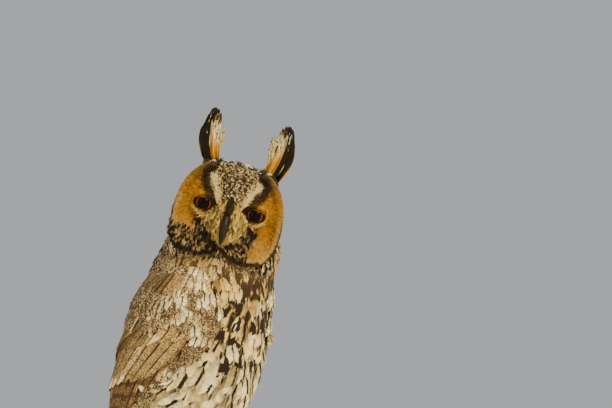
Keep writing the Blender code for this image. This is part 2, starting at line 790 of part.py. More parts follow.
def perch_place(x, angle, distance):
    """A point at an angle round the perch, where 90 is straight up and 0 straight forward."""
    turn = math.radians(angle)
    height = PERCH_TOP - PERCH_RADIUS + distance * math.sin(turn)
    return placed(x, PERCH_Y - distance * math.cos(turn), height)


def tube(name, path, radii, finish, sides, collection=None):
    """A round tube along points, with a radius at each."""
    rings = []
    for k, point in enumerate(path):
        ahead = path[min(k + 1, len(path) - 1)] - path[max(k - 1, 0)]
        side = ahead.cross(Vector((1, 0, 0))).normalized()
        other = ahead.cross(side).normalized()
        rings.append(ellipse(point, side * radii[k], other * radii[k], sides))
    return mesh_object(name, *loft(rings), finish, collection)


def foot(side, name, perch_clear):
    """A feathered foot gripping the perch, with two toes forward and two back, and a claw on each."""
    middle = side * LEG_APART
    centre = placed(middle, PERCH_Y, ANKLE - GAP)
    bottom = placed(middle, PERCH_Y, PERCH_TOP - 0.002)
    pad = rod("foot_" + name, bottom, centre, FOOT_RADIUS, "leg", end_radius=ANKLE_RADIUS)
    toes = bpy.data.collections.new("toes_" + name)
    CUTTERS.children.link(toes)
    reach = PERCH_RADIUS + TOE_RADIUS + 0.0004
    for toe_name, start, splay, end_angle, tip_angle in TOES:
        steps = np.linspace(0, 1, 6)
        path = []
        for share in steps:
            angle = between((TOE_START, end_angle), share)
            path.append(perch_place(middle + side * (start + splay * share), angle, reach))
        radii = [TOE_RADIUS * (1.0 - 0.18 * share) for share in steps]
        tube("toe", path, radii, "leg", 8, toes)
        gap_angle = math.copysign(math.degrees(GAP / reach), tip_angle - end_angle)
        claw_path = []
        for share in np.linspace(0, 1, 5):
            angle = end_angle + gap_angle + (tip_angle - end_angle) * share
            inward = reach - 0.0006 * share + 0.0012 * math.sin(math.pi * share)
            x = middle + side * (start + splay * (1 + 0.3 * share))
            claw_path.append(perch_place(x, angle, inward))
        claw_radii = [CLAW_RADIUS * (1 - 0.9 * share**1.3) for share in np.linspace(0, 1, 5)]
        claw = tube("claw_" + name + "_" + toe_name, claw_path, claw_radii, "horn", 6)
        cut_clear(claw, perch_clear)
    apply_boolean(pad, "UNION", toes, "MANIFOLD")
    for item in list(toes.objects):
        bpy.data.objects.remove(item)
    cut_clear(pad, perch_clear)


def perch():
    """The cut branch: a round with slow swellings, and flat sawn ends."""
    rings = []
    for place in np.linspace(-PERCH_LENGTH / 2, PERCH_LENGTH / 2, 11):
        ring = []
        for i in range(PERCH_SIDES):
            turn = 2 * math.pi * i / PERCH_SIDES
            bark = 0.0007 * math.sin(2 * turn + 31 * place) + 0.0005 * math.sin(5 * turn - 70 * place)
            radius = PERCH_RADIUS - 0.0012 + bark
            ring.append(perch_place(place, math.degrees(turn), radius))
        rings.append(ring)
    return mesh_object("perch_branch", *loft(rings), "bark")


def stand(branch):
    """A round base and two rods that end in sockets under the perch."""
    shaped = bmesh.new()
    bmesh.ops.create_cone(
        shaped, cap_ends=True, segments=48, depth=BASE_HEIGHT, radius1=BASE_RADIUS, radius2=BASE_RADIUS,
    )
    rims = [edge for edge in shaped.edges if abs(edge.verts[0].co.z - edge.verts[1].co.z) < BASE_BEVEL]
    bmesh.ops.bevel(shaped, geom=rims, offset=BASE_BEVEL, segments=1, profile=0.5, affect="EDGES")
    bmesh.ops.translate(shaped, vec=(0, 0, BASE_HEIGHT / 2), verts=shaped.verts)
    mesh = bpy.data.meshes.new("stand_base")
    shaped.to_mesh(mesh)
    shaped.free()
    mesh.materials.append(material("stand"))
    OWL.objects.link(bpy.data.objects.new("stand_base", mesh))
    for side, name in ((-1, "right"), (1, "left")):
        foot_end = Vector((side * ROD_APART, HEAD_Y + PERCH_Y, BASE_HEIGHT + GAP))
        top = placed(side * ROD_APART, PERCH_Y, PERCH_TOP - 2 * PERCH_RADIUS + ROD_SOCKET)
        socket = rod("rod_socket", foot_end, top + Vector((0, 0, GAP)), ROD_RADIUS + GAP, "steel", CUTTERS)
        socket.hide_render = True
        apply_boolean(branch, "DIFFERENCE", socket, "MANIFOLD")
        rod("stand_rod_" + name, foot_end, top, ROD_RADIUS, "steel")
    keep_largest(branch)


def main():
    head = head_form()
    head_clear = swollen(head)
    bill(head_clear)
    ear_tufts(head_clear)
    torso, neck = torso_and_neck(head_clear)
    eyes(head)
    torso_clear = swollen(torso)
    neck_clear = swollen(neck)
    for side, name in ((-1, "right"), (1, "left")):
        wing(side, name, (torso_clear, neck_clear))
        leg(side, name, torso_clear)
    tail(torso_clear)
    branch = perch()
    perch_clear = swollen(branch)
    for side, name in ((-1, "right"), (1, "left")):
        foot(side, name, perch_clear)
    stand(branch)
    for item in list(CUTTERS.all_objects):
        bpy.data.objects.remove(item)


clear_scene()
OWL = bpy.data.collections.new("long_eared_owl")
CUTTERS = bpy.data.collections.new("cutters")
bpy.context.scene.collection.children.link(OWL)
bpy.context.scene.collection.children.link(CUTTERS)
main()
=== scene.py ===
# %% [markdown]
# A long-eared owl on a cut branch
#
# A bird looks like a bird because of its coat, not its body. Under the feathers of this owl is one
# smooth skin, and everything that the eye reads, the orange discs, the white brows, the streaked
# breast, is many small feathers that lie over one another in one direction. So the lesson makes the
# skin first, works out for each spot on it which way its feather lies, how long it is and how it is
# marked, and then plants a feather there.
#
# Lengths are in metres. The head is made in its own frame, facing -Y with its eyes level, and is
# turned to where the solids have it.

# %% Load the solids
import json
import math

import bmesh
import bpy
import numpy as np
from mathutils import Matrix, Vector, noise
from mathutils.bvhtree import BVHTree

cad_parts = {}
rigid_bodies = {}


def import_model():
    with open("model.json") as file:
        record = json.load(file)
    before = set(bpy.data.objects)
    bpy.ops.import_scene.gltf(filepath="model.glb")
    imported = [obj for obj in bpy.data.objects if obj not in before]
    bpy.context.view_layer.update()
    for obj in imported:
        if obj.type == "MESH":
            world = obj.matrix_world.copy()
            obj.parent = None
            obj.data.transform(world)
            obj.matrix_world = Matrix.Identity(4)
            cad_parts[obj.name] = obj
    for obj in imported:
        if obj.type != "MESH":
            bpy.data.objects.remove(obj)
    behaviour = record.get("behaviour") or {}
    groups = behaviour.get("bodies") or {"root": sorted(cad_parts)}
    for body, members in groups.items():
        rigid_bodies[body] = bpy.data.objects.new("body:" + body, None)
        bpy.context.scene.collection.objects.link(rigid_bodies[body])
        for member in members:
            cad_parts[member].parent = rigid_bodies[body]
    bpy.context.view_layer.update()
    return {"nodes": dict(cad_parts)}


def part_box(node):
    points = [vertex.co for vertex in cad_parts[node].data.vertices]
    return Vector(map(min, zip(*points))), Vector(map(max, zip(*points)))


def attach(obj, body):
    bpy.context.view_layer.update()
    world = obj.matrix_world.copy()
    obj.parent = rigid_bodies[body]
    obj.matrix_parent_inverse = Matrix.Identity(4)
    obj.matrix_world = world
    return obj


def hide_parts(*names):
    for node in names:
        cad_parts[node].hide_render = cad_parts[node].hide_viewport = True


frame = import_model()
nodes = frame["nodes"]

# %% [markdown]
# Where the head is. The two eyeballs fix its place and its width. Its turn, roll and nod are the
# angles that the solids were made with: the owl looks over its right shoulder and tips its head.

# %% The head's own frame
HEAD_TURN = math.radians(-48)
HEAD_ROLL = math.radians(14.5)
HEAD_PITCH = math.radians(3)
EYE_DEPTH = -0.0205


def middle(node):
    low, high = (Vector(corner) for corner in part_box(node))
    return (low + high) / 2


eye_places = {side: middle("eye_" + side) for side in ("left", "right")}
eyes_middle = (eye_places["left"] + eye_places["right"]) / 2
EYE_APART = (eye_places["left"] - eye_places["right"]).length / 2
low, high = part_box("eye_left")
EYE_RADIUS = (high[2] - low[2]) / 2
head_turned = (
    Matrix.Rotation(HEAD_TURN, 4, "Z")
    @ Matrix.Rotation(HEAD_ROLL, 4, "Y")
    @ Matrix.Rotation(HEAD_PITCH, 4, "X")
)
head_origin = eyes_middle - head_turned @ Vector((0, EYE_DEPTH, 0))
HEAD = Matrix.Translation(head_origin) @ head_turned
TO_HEAD = np.array(HEAD.inverted())
FROM_HEAD = np.array(HEAD)
print("eyes", round(EYE_APART * 2000, 1), "mm apart,", round(EYE_RADIUS * 2000, 1), "mm across")


def into_head(points):
    """Points of the world as points of the head's own frame."""
    return points @ TO_HEAD[:3, :3].T + TO_HEAD[:3, 3]


def from_head(points):
    return points @ FROM_HEAD[:3, :3].T + FROM_HEAD[:3, 3]


# %% [markdown]
# The body leans back, and the wings and tail carry on along the same line. Its middle line, as pairs
# of height above the floor and place from front to back, lets any spot be named by a height and an
# angle round the body, which is how feathers are laid out below. The angle runs from the middle of
# the back towards the owl's left, so the breast is at 180 degrees.

# %% The body's middle line
BODY_LINE = (
    (0.028, 0.0840), (0.056, 0.0700), (0.086, 0.0530), (0.116, 0.0340), (0.147, 0.0140), (0.168, 0.0045),
    (0.192, -0.0050), (0.211, -0.0125), (0.238, -0.0185), (0.276, -0.0305), (0.321, -0.0420),
)
line_heights, line_places = np.array(BODY_LINE).T


def line_y(height):
    return np.interp(height, line_heights, line_places)


def round_angle(points):
    """Degrees round the body's line, from the middle of the back towards the owl's left."""
    return np.degrees(np.arctan2(points[:, 0], points[:, 1] - line_y(points[:, 2])))


def along_line(height):
    """The direction down the body's line at a height."""
    step = 0.006
    slope = (line_y(height - step) - line_y(height + step)) / (2 * step)
    down = np.stack([np.zeros_like(slope), slope, -np.ones_like(slope)], axis=1)
    return down / np.linalg.norm(down, axis=1, keepdims=True)


# %% [markdown]
# Small tools. A finished piece is a mesh at the origin, so the tools here make meshes from arrays,
# hang named values on their points, and soften a copy of a solid: a voxel remesh fuses solids that
# only meet face to face, and a smooth takes off their facets.

# %% Tools for meshes
collection = bpy.data.collections.new("owl_looks")
bpy.context.scene.collection.children.link(collection)
helpers = bpy.data.collections.new("shapes_to_plant")
bpy.context.scene.collection.children.link(helpers)


def add_object(name, mesh, where=None):
    made = bpy.data.objects.new(name, mesh)
    (where or collection).objects.link(made)
    return made


def mesh_from(name, points, faces=()):
    mesh = bpy.data.meshes.new(name)
    mesh.from_pydata([tuple(p) for p in points], [], [tuple(f) for f in faces])
    mesh.shade_smooth()
    return mesh


VALUE_KINDS = {1: ("FLOAT", "value"), 3: ("FLOAT_VECTOR", "vector"), 4: ("FLOAT_COLOR", "color")}


def keep_values(mesh, **values):
    """Hangs arrays on a mesh's points: one number each, or three, or a colour of four."""
    for name, array in values.items():
        array = np.asarray(array, dtype=np.float32)
        kind, field = VALUE_KINDS[1 if array.ndim == 1 else array.shape[1]]
        made = mesh.attributes.new(name, kind, "POINT")
        made.data.foreach_set(field, array.ravel())


def read_values(mesh, name):
    found = mesh.attributes[name]
    width = next(width for width, (kind, _) in VALUE_KINDS.items() if kind == found.data_type)
    array = np.zeros(len(found.data) * width, dtype=np.float32)
    found.data.foreach_get(VALUE_KINDS[width][1], array)
    return array if width == 1 else array.reshape(-1, width)


def rows_of(items, field):
    array = np.zeros(len(items) * 3, dtype=np.float32)
    items.foreach_get(field, array)
    return array.reshape(-1, 3).astype(float)


def points_of(mesh):
    return rows_of(mesh.vertices, "co")


def set_points(mesh, points):
    mesh.vertices.foreach_set("co", np.asarray(points, dtype=np.float32).ravel())
    mesh.update()


def face_outwards(mesh):
    turned = bmesh.new()
    turned.from_mesh(mesh)
    bmesh.ops.recalc_face_normals(turned, faces=turned.faces)
    turned.to_mesh(mesh)
    turned.free()


def settled(made):
    """Replaces an object's mesh by what its modifiers make of it, and takes them off."""
    graph = bpy.context.evaluated_depsgraph_get()
    mesh = bpy.data.meshes.new_from_object(made.evaluated_get(graph))
    made.modifiers.clear()
    made.data = mesh
    return mesh


def softened(name, sources, voxel, smoothing):
    """One smooth closed surface from copies of solids."""
    shaped = bmesh.new()
    for source in sources:
        shaped.from_mesh(nodes[source].data)
    bmesh.ops.remove_doubles(shaped, verts=shaped.verts, dist=1e-6)
    mesh = bpy.data.meshes.new(name)
    shaped.to_mesh(mesh)
    shaped.free()
    made = add_object(name, mesh)
    remesh = made.modifiers.new("fuse", "REMESH")
    remesh.mode = "VOXEL"
    remesh.voxel_size = voxel
    smooth = made.modifiers.new("smooth", "SMOOTH")
    smooth.factor = 0.6
    smooth.iterations = smoothing
    settled(made)
    made.data.shade_smooth()
    return made


def ring_faces(rings, sides):
    """Faces between rings of point numbers that follow one another. A ring of one point is a pole."""
    faces = []
    for lower, upper in zip(rings, rings[1:]):
        for i in range(sides):
            j = (i + 1) % sides
            corners = ((lower, i), (lower, j), (upper, j), (upper, i))
            faces.append(tuple(dict.fromkeys(ring[k % len(ring)] for ring, k in corners)))
    return faces


def unit(vectors):
    return vectors / np.maximum(np.linalg.norm(vectors, axis=-1, keepdims=True), 1e-9)


def ramp(low, high, value):
    """A smooth ramp from 0 at low to 1 at high, also where low is the greater."""
    share = np.clip((value - low) / (high - low), 0, 1)
    return share * share * (3 - 2 * share)


def mixed(first, second, share):
    """From the first number at 0 to the second at 1."""
    return first + (second - first) * share


def blend(first, second, share):
    """The same for colours and directions, which have three numbers for each share."""
    return mixed(first, second, np.asarray(share)[..., None])


def colours(array):
    return np.concatenate([array, np.ones((len(array), 1))], axis=1)


def one_colour(colour, count):
    return colours(np.tile(colour, (count, 1)))


# %% [markdown]
# Materials. Shader trees are easier to read as sums than as a web of nodes, so a small class wraps a
# socket and lets Python's own operators add the maths nodes. Everything else comes from one method
# that adds any node, sets what it is told and links its sockets.

# %% Tools for materials
class Value:
    """A socket of a material, with operators that add maths nodes."""

    def __init__(self, finish, socket):
        self.finish = finish
        self.socket = socket

    def math(self, operation, *others):
        inputs = dict(enumerate((self, *others)))
        return self.finish.node("ShaderNodeMath", {"operation": operation}, inputs)

    def __add__(self, other):
        return self.math("ADD", other)

    def __mul__(self, other):
        return self.math("MULTIPLY", other)

    def __sub__(self, other):
        return self.math("SUBTRACT", other)

    def __rsub__(self, other):
        return self.finish.node("ShaderNodeMath", {"operation": "SUBTRACT"}, {0: other, 1: self})

    __radd__ = __add__
    __rmul__ = __mul__

    def within(self, low, high):
        """Smoothly 0 at low and 1 at high, also where low is the greater."""
        inputs = {"Value": self, "From Min": low, "From Max": high}
        return self.finish.node("ShaderNodeMapRange", {"interpolation_type": "SMOOTHSTEP"}, inputs)


class Finish:
    """A material being made: one shader, and a method that adds any node."""

    def __init__(self, name, roughness, **constants):
        self.material = bpy.data.materials.new(name)
        self.material.use_nodes = True
        self.tree = self.material.node_tree
        self.shader = self.tree.nodes["Principled BSDF"]
        self.shader.inputs["Roughness"].default_value = roughness
        for socket, value in constants.items():
            self.shader.inputs[socket.replace("_", " ")].default_value = value

    def link(self, socket, value):
        if isinstance(value, Value):
            self.tree.links.new(value.socket, socket)
        elif isinstance(value, (tuple, list)) and len(value) == 3 and socket.type == "RGBA":
            socket.default_value = (*value, 1)
        else:
            socket.default_value = value

    def node(self, kind, settings=None, inputs=None, output=0):
        made = self.tree.nodes.new(kind)
        for name, value in (settings or {}).items():
            setattr(made, name, value)
        for name, value in (inputs or {}).items():
            self.link(made.inputs[name], value)
        return Value(self, made.outputs[output])

    def attribute(self, name, output="Fac"):
        return self.node("ShaderNodeAttribute", {"attribute_name": name}, output=output)

    def parts(self, vector):
        return [self.node("ShaderNodeSeparateXYZ", inputs={0: vector}, output=k) for k in range(3)]

    def mix(self, share, first, second):
        """From the first colour at 0 to the second at 1."""
        settings = {"data_type": "RGBA", "clamp_factor": True}
        return self.node("ShaderNodeMix", settings, {0: share, 6: first, 7: second}, output=2)

    def scaled(self, colour, factor):
        return self.node("ShaderNodeVectorMath", {"operation": "SCALE"}, {0: colour, "Scale": factor})

    def place(self):
        return self.node("ShaderNodeTexCoord", output="Object")

    def noise(self, scale, detail=2.0, vector=None, stretch=None):
        vector = vector or self.place()
        if stretch:
            vector = self.node("ShaderNodeMapping", inputs={"Vector": vector, "Scale": stretch})
        inputs = {"Vector": vector, "Scale": scale, "Detail": detail}
        return self.node("ShaderNodeTexNoise", inputs=inputs)

    def colour(self, value):
        self.link(self.shader.inputs["Base Color"], value)

    def rough(self, value):
        self.link(self.shader.inputs["Roughness"], value)

    def bump(self, height, distance, strength=1.0):
        inputs = {"Height": height, "Distance": distance, "Strength": strength}
        made = self.node("ShaderNodeBump", inputs=inputs)
        self.link(self.shader.inputs["Normal"], made)


# %% [markdown]
# The skin. Head, neck, body, legs and feet are separate solids, but no seam may show between them, so
# one surface is wrapped round all of them. It then sinks by the depth of the coat that will lie on
# it: deep on the breast, shallow on the face, hardly at all on the toes.

# %% One skin under the coat
SKIN_NODES = ("neck", "torso", "head", "leg_left", "leg_right", "foot_left", "foot_right")
SKIN_VOXEL, SKIN_SMOOTHING = 0.00125, 6
skin = softened("skin", SKIN_NODES, SKIN_VOXEL, SKIN_SMOOTHING)
skin_points = points_of(skin.data)
PERCH_LOW, PERCH_HIGH = (np.array(corner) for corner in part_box("perch_branch"))
LEG_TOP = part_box("leg_left")[1][2]
FOOT_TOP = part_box("foot_left")[1][2]
# The rim of the discs: degrees from straight up, and how far from the middle of the eyes it lies.
FACE_OUTLINE = ((0, 0.0370), (20, 0.0405), (36, 0.0458), (62, 0.0474), (90, 0.0485),
                (112, 0.0528), (133, 0.0580), (152, 0.0480), (180, 0.0360))
HEAD_CENTRE = np.array([0, 0.012, 0])


def head_reach(points):
    """How far each spot is from the middle of the head."""
    return np.linalg.norm(into_head(points) - HEAD_CENTRE, axis=1)


def rim_share(local):
    """How far out on the face a spot is, 1 being the rim of the discs."""
    around = np.degrees(np.abs(np.arctan2(local[:, 0], local[:, 2])))
    angles, reaches = np.array(FACE_OUTLINE).T
    return np.hypot(local[:, 0], local[:, 2]) / np.interp(around, angles, reaches)


def on_face(points):
    """1 on the front of the head, inside the rim of the discs."""
    local = into_head(points)
    inside_rim = ramp(1.10, 1.02, rim_share(local))
    above_throat = ramp(-0.020, -0.012, local[:, 2])
    return ramp(-0.0125, -0.0165, local[:, 1]) * np.maximum(inside_rim, above_throat)


def on_leg(points):
    low_enough = ramp(LEG_TOP + 0.002, LEG_TOP - 0.006, points[:, 2])
    return low_enough * ramp(0.024, 0.018, points[:, 1])


BODY_COAT, HEAD_COAT, FACE_COAT, LEG_COAT, TOE_COAT = 0.0040, 0.0020, 0.0014, 0.0012, 0.0005


def coat_depth(points):
    """How far the skin lies inside the solids."""
    leg = on_leg(points)
    toe = ramp(FOOT_TOP + 0.004, FOOT_TOP - 0.004, points[:, 2]) * leg
    depth = mixed(BODY_COAT, HEAD_COAT, ramp(0.070, 0.050, head_reach(points)))
    depth = mixed(depth, FACE_COAT, on_face(points))
    return mixed(mixed(depth, LEG_COAT, leg), TOE_COAT, toe)


SOCKET, SOCKET_DEPTH = (0.0104, 0.0068), 0.0009


def behind_eyes(points):
    """Draws the skin back inside the eyeballs where the lids open."""
    local = into_head(points)
    for side in (-1, 1):
        centre = np.array([side * EYE_APART, EYE_DEPTH, 0])
        away = local - centre
        reach = np.linalg.norm(away, axis=1)
        opened = (np.hypot(away[:, 0] / SOCKET[0], away[:, 2] / SOCKET[1]) < 1) & (away[:, 1] < 0)
        share = np.where(opened, np.minimum(1, (EYE_RADIUS - SOCKET_DEPTH) / reach), 1)
        local = centre + away * share[:, None]
    return from_head(local)


skin_normals = rows_of(skin.data.vertex_normals, "vector")
skin_points = behind_eyes(skin_points - skin_normals * coat_depth(skin_points)[:, None])
set_points(skin.data, skin_points)
print("skin", len(skin.data.polygons), "faces")

# %% [markdown]
# The lie of the coat. A feather never stands where it likes. On the discs the fine plumes run out
# from each eye like the spokes of a dish, on the crown they sweep up and over to the nape, under
# the face they part round the chin, and on the body they run down its line. One function gives that
# direction for any spot, so that neighbours always agree.

# %% Which way each feather lies
CHIN = np.array([0.0, -0.030, -0.022])
CHIN_REACH = 0.034
TURN_FROM_HEAD = FROM_HEAD[:3, :3].T


def along_surface(directions, normals):
    """What is left of directions once the part through the surface is taken away."""
    through = np.sum(directions * normals, axis=1, keepdims=True)
    return unit(directions - normals * through)


def lie_on_disc(local):
    """In the head's frame: out from the nearer eye, up between the brows, and down beside the bill."""
    across, up = np.abs(local[:, 0]), local[:, 2]
    side = np.where(local[:, 0] < 0, -1.0, 1.0)
    level = np.zeros(len(local))
    eye = np.stack([side * EYE_APART, np.full(len(local), EYE_DEPTH), level], axis=1)
    spokes = unit(local - eye)
    brow_way = np.stack([side * np.clip(across * 42, 0, 0.62), level + 0.35, level + 1.0], axis=1)
    brow = ramp(0.0215, 0.0120, across - np.maximum(up, 0) * 0.35) * ramp(-0.0050, 0.0015, up)
    spokes = blend(spokes, unit(brow_way), brow)
    lore_way = np.stack([side * np.clip(across * 55, 0, 0.85), level - 0.05, level - 1.0], axis=1)
    lore = ramp(0.0190, 0.0130, across) * ramp(0.0025, -0.0035, up)
    spokes = blend(spokes, unit(lore_way), lore)
    return unit(spokes)


def lie_on_crown(local):
    """In the head's frame: up the brow, back over the crown and down the nape."""
    turn = np.arctan2(np.maximum(local[:, 2] + 0.012, 0.004), -(local[:, 1] - 0.010))
    return np.stack([local[:, 0] * 6, np.sin(turn), np.cos(turn)], axis=1)


def lie_of_coat(points, normals):
    local = into_head(points)
    face = on_face(points)[:, None]
    crown = ramp(-0.030, -0.014, local[:, 2])[:, None]
    crown = crown * ramp(0.066, 0.056, head_reach(points))[:, None]
    from_chin = unit(local - CHIN)
    near_chin = np.exp(-((np.linalg.norm(local - CHIN, axis=1) / CHIN_REACH) ** 2))[:, None]
    outward = np.clip(points[:, 0] * (3 + 9 * ramp(0.01, -0.02, points[:, 1])), -0.55, 0.55)
    body = unit(along_line(points[:, 2]) + outward[:, None] * [1, 0, 0])
    body = unit(body * (1 - near_chin) + (from_chin @ TURN_FROM_HEAD) * near_chin)
    lie = body * (1 - crown) + (lie_on_crown(local) @ TURN_FROM_HEAD) * crown
    lie = lie * (1 - face) + (lie_on_disc(local) @ TURN_FROM_HEAD) * face
    return along_surface(lie, normals)


# %% [markdown]
# The markings. A feather carries its own pattern, so the coat is painted feather by feather: a
# ground colour, a mark colour, and how much of the mark is a streak along the shaft, bars across it,
# or speckles. The same functions colour the skin below, so a gap in the coat never shows as a hole.
# On the face the colours follow lines drawn sideways and up from the middle of the eyes.

# %% Colours of the face
ORANGE = np.array([0.56, 0.24, 0.008])
PALE_ORANGE = np.array([0.72, 0.38, 0.055])
CREAM = np.array([0.86, 0.62, 0.20])
WHITE = np.array([1.0, 0.82, 0.40])
BLACK = np.array([0.014, 0.009, 0.0035])
BROWN = np.array([0.110, 0.055, 0.014])
BUFF = np.array([0.58, 0.36, 0.12])
OLIVE = np.array([0.74, 0.52, 0.105])
BROW_LINE = ((0.0068, -0.0050), (0.0100, 0.0040), (0.0135, 0.0120), (0.0185, 0.0235))
BROW_WIDTHS = (0.0010, 0.0017, 0.0026, 0.0046)
BROW_ACROSS, BROW_UP = np.array(BROW_LINE).T
DARK_LINE = ((0.0152, 0.0035), (0.0188, 0.0095), (0.0240, 0.0185), (0.0264, 0.0270), (0.0215, 0.0345),
             (0.0130, 0.0350))
DARK_WIDTHS = (0.0042, 0.0052, 0.0052, 0.0048, 0.0042, 0.0030)
UNDER_EYE_LINE = ((0.0150, -0.0078), (0.0200, -0.0094), (0.0260, -0.0086), (0.0325, -0.0045))
MOUTH_LINE = ((0.0230, -0.0170), (0.0170, -0.0262), (0.0090, -0.0322), (0.0, -0.0345))
UNDER_EYE_WIDTHS, MOUTH_WIDTHS = (0.0010, 0.0012, 0.0010, 0.0006), (0.0016, 0.0022, 0.0024, 0.0024)
CHEEK_SPOT, SMUDGE_SPOT = (0.0225, -0.0150), (0.0275, 0.0265)
LID_OPENING = (0.0082, 0.0052)


def line_reach(across, up, line, widths):
    """1 on a drawn line, fading to 0 past its width, which changes along it."""
    best = np.zeros(len(across))
    for k in range(len(line) - 1):
        start, end = np.array(line[k]), np.array(line[k + 1])
        span = end - start
        share = ((across - start[0]) * span[0] + (up - start[1]) * span[1]) / (span @ span)
        share = np.clip(share, 0, 1)
        away = np.hypot(across - start[0] - share * span[0], up - start[1] - share * span[1])
        width = widths[k] + (widths[k + 1] - widths[k]) * share
        best = np.maximum(best, ramp(1.25, 0.75, away / width))
    return best


def eye_share(local):
    """1 on the edge of the opened lids, more outside it."""
    across, up = np.abs(local[:, 0]) - EYE_APART, local[:, 2]
    return np.hypot(across / LID_OPENING[0], (up - across * 0.10) / LID_OPENING[1])


def brow_wedge(across, up):
    """1 between the pale arms of the face, where the crown comes down to the bill."""
    edge = np.interp(up, BROW_UP, BROW_ACROSS)
    return ramp(0.0006, -0.0012, across - edge) * ramp(-0.0060, -0.0010, up)


def brow_border(across, up):
    """The buff seam just inside the pale arms of the face."""
    edge = np.interp(up, BROW_UP, BROW_ACROSS) - np.interp(up, BROW_UP, BROW_WIDTHS) - 0.0010
    return ramp(0.0024, 0.0010, np.abs(edge - across)) * ramp(0.030, 0.022, up)


def lores(across, up):
    """The bristly patch beside the bill, a diamond with its lowest corner at the chin."""
    return ramp(0.0212, 0.0186, across + np.abs(up + 0.0090) * np.where(up > -0.009, 0.95, 0.72))


def face_paint(local, dapple):
    """Ground colour, speckle, and the share of black and of white plumes at each spot of the face."""
    across, up = np.abs(local[:, 0]), local[:, 2]
    rim = rim_share(local)
    ground = np.tile(ORANGE, (len(local), 1))
    from_eye = np.hypot(across - EYE_APART, up)
    ground = blend(ground, PALE_ORANGE, ramp(0.014, 0.030, from_eye) * ramp(0.9, 0.6, rim) * 0.35)
    smudge = ramp(0.017, 0.005, np.hypot(across - SMUDGE_SPOT[0], up - SMUDGE_SPOT[1]))
    ground = blend(ground, BROWN, smudge * 0.66)
    spoke = np.arctan2(up, across - EYE_APART)
    ground = ground * (0.92 + 0.14 * np.sin(spoke * 37 + 3 * np.sin(spoke * 9)))[:, None]
    lobe = ramp(-0.014, -0.030, up) * ramp(0.024, 0.034, across)
    ground = blend(ground, PALE_ORANGE, lobe * 0.85)
    ground = ground * (0.80 + 0.36 * dapple)[:, None]
    black, white = np.zeros(len(local)), np.zeros(len(local))
    inner = ramp(0.0310, 0.0250, across - np.minimum(up + 0.02, 0) * 0.2 + (dapple - 0.5) * 0.005)
    chin = ramp(-0.0110, -0.0175, up + (dapple - 0.5) * 0.003) * inner
    ground = blend(ground, BUFF, chin)
    black = np.maximum(black, chin * 0.66)
    dark = line_reach(across, up, DARK_LINE, DARK_WIDTHS)
    ground = blend(ground, BLACK * 1.5, dark * 0.9)
    # Painted shade, in part: the lower disc on the owl's right side turns buff with more black plumes where
    # the turned head's disc lies in shadow. The rest is the dark streaky feathers that overlap it there.
    shaded = ramp(-0.0185, -0.0245, up + (dapple - 0.5) * 0.006) * ramp(0.002, -0.004, local[:, 0])
    ground = blend(ground, BUFF * 0.8, shaded)
    black = np.maximum(black, shaded * 0.62)
    cheek = ramp(0.0080, 0.0045, np.hypot(across - CHEEK_SPOT[0], (up - CHEEK_SPOT[1]) * 1.2))
    black = np.maximum(black, cheek * 0.85)
    socket = ramp(1.75, 1.35, eye_share(local))
    inner_corner = ramp(EYE_APART + 0.001, EYE_APART - 0.006, across)
    ground = blend(ground, BLACK * 1.5, socket * (0.15 + 0.85 * inner_corner))
    under = line_reach(across, up, UNDER_EYE_LINE, UNDER_EYE_WIDTHS)
    ground = blend(ground, CREAM, under * 0.6)
    black = black * (1 - under)
    bristly = lores(across, up)
    ground = blend(ground, OLIVE * (0.75 + 0.5 * dapple)[:, None], bristly)
    black = black * (1 - bristly) + bristly * 0.10
    white = white * (1 - bristly) + bristly * 0.16 * ramp(-0.018, -0.010, up)
    mouth = line_reach(across, up, MOUTH_LINE, MOUTH_WIDTHS)
    ground = blend(ground, BLACK, mouth * 0.8)
    wedge = brow_wedge(across, up)
    ground = blend(ground, BUFF * 0.85, wedge)
    border = brow_border(across, up) * wedge
    ground = blend(ground, PALE_ORANGE * 0.8, border)
    black = black * (1 - wedge) + wedge * (0.66 - 0.40 * border)
    white = white * (1 - wedge) + wedge * (0.17 - 0.10 * border)
    bridge = ramp(0.0030, 0.0014, across) * ramp(0.008, 0.001, up) * ramp(-0.012, -0.006, up)
    ground = blend(ground, BROWN * 0.8, bridge * 0.8)
    top = ramp(0.027, 0.034, up) * ramp(0.031, 0.020, across)
    black = np.maximum(black * (1 - top), top * 0.45)
    ground = blend(ground, BUFF * 0.9, top * 0.8 * (1 - dark))
    brow = line_reach(across, up, BROW_LINE, BROW_WIDTHS)
    ground = blend(ground, blend(OLIVE * 1.15, (WHITE + CREAM) / 2, ramp(0.001, 0.010, up)), brow)
    black, white = black * (1 - brow), white * (1 - brow)
    fringe = ramp(0.88, 0.91, rim)
    below = ramp(0.010, -0.010, up)
    ground = blend(ground, CREAM, fringe * (0.08 + 0.42 * below))
    edge = ramp(0.925, 0.95, rim)
    ground = blend(ground, BLACK * 2, edge * (0.15 + 0.80 * below))
    return ground, black, white


# How long a plume is.
BY_EYE, ON_DISC, ON_RIM, ON_LORES, ON_WEDGE, ON_BROW, ON_CHIN = (
    0.0018, 0.0062, 0.0032, 0.0052, 0.0021, 0.0048, 0.0066
)


def face_size(local):
    """Half width, length and lift of the plume at each spot of the face."""
    across, up = np.abs(local[:, 0]), local[:, 2]
    rim = rim_share(local)
    length = mixed(BY_EYE, ON_DISC, ramp(1.1, 2.6, eye_share(local)))
    length = mixed(length, ON_RIM, ramp(0.78, 0.95, rim))
    length = mixed(length, ON_LORES, lores(across, up))
    length = mixed(length, ON_WEDGE, brow_wedge(across, up))
    length = mixed(length, ON_BROW, line_reach(across, up, BROW_LINE, BROW_WIDTHS))
    chin = ramp(-0.0150, -0.0220, up) * np.maximum(ramp(0.030, 0.024, across), local[:, 0] < 0)
    length = mixed(length, ON_CHIN, chin)
    half_width = 0.0005 + 0.13 * length - 0.0004 * chin
    return half_width, length, 0.26 - 0.10 * ramp(0.8, 0.95, rim)


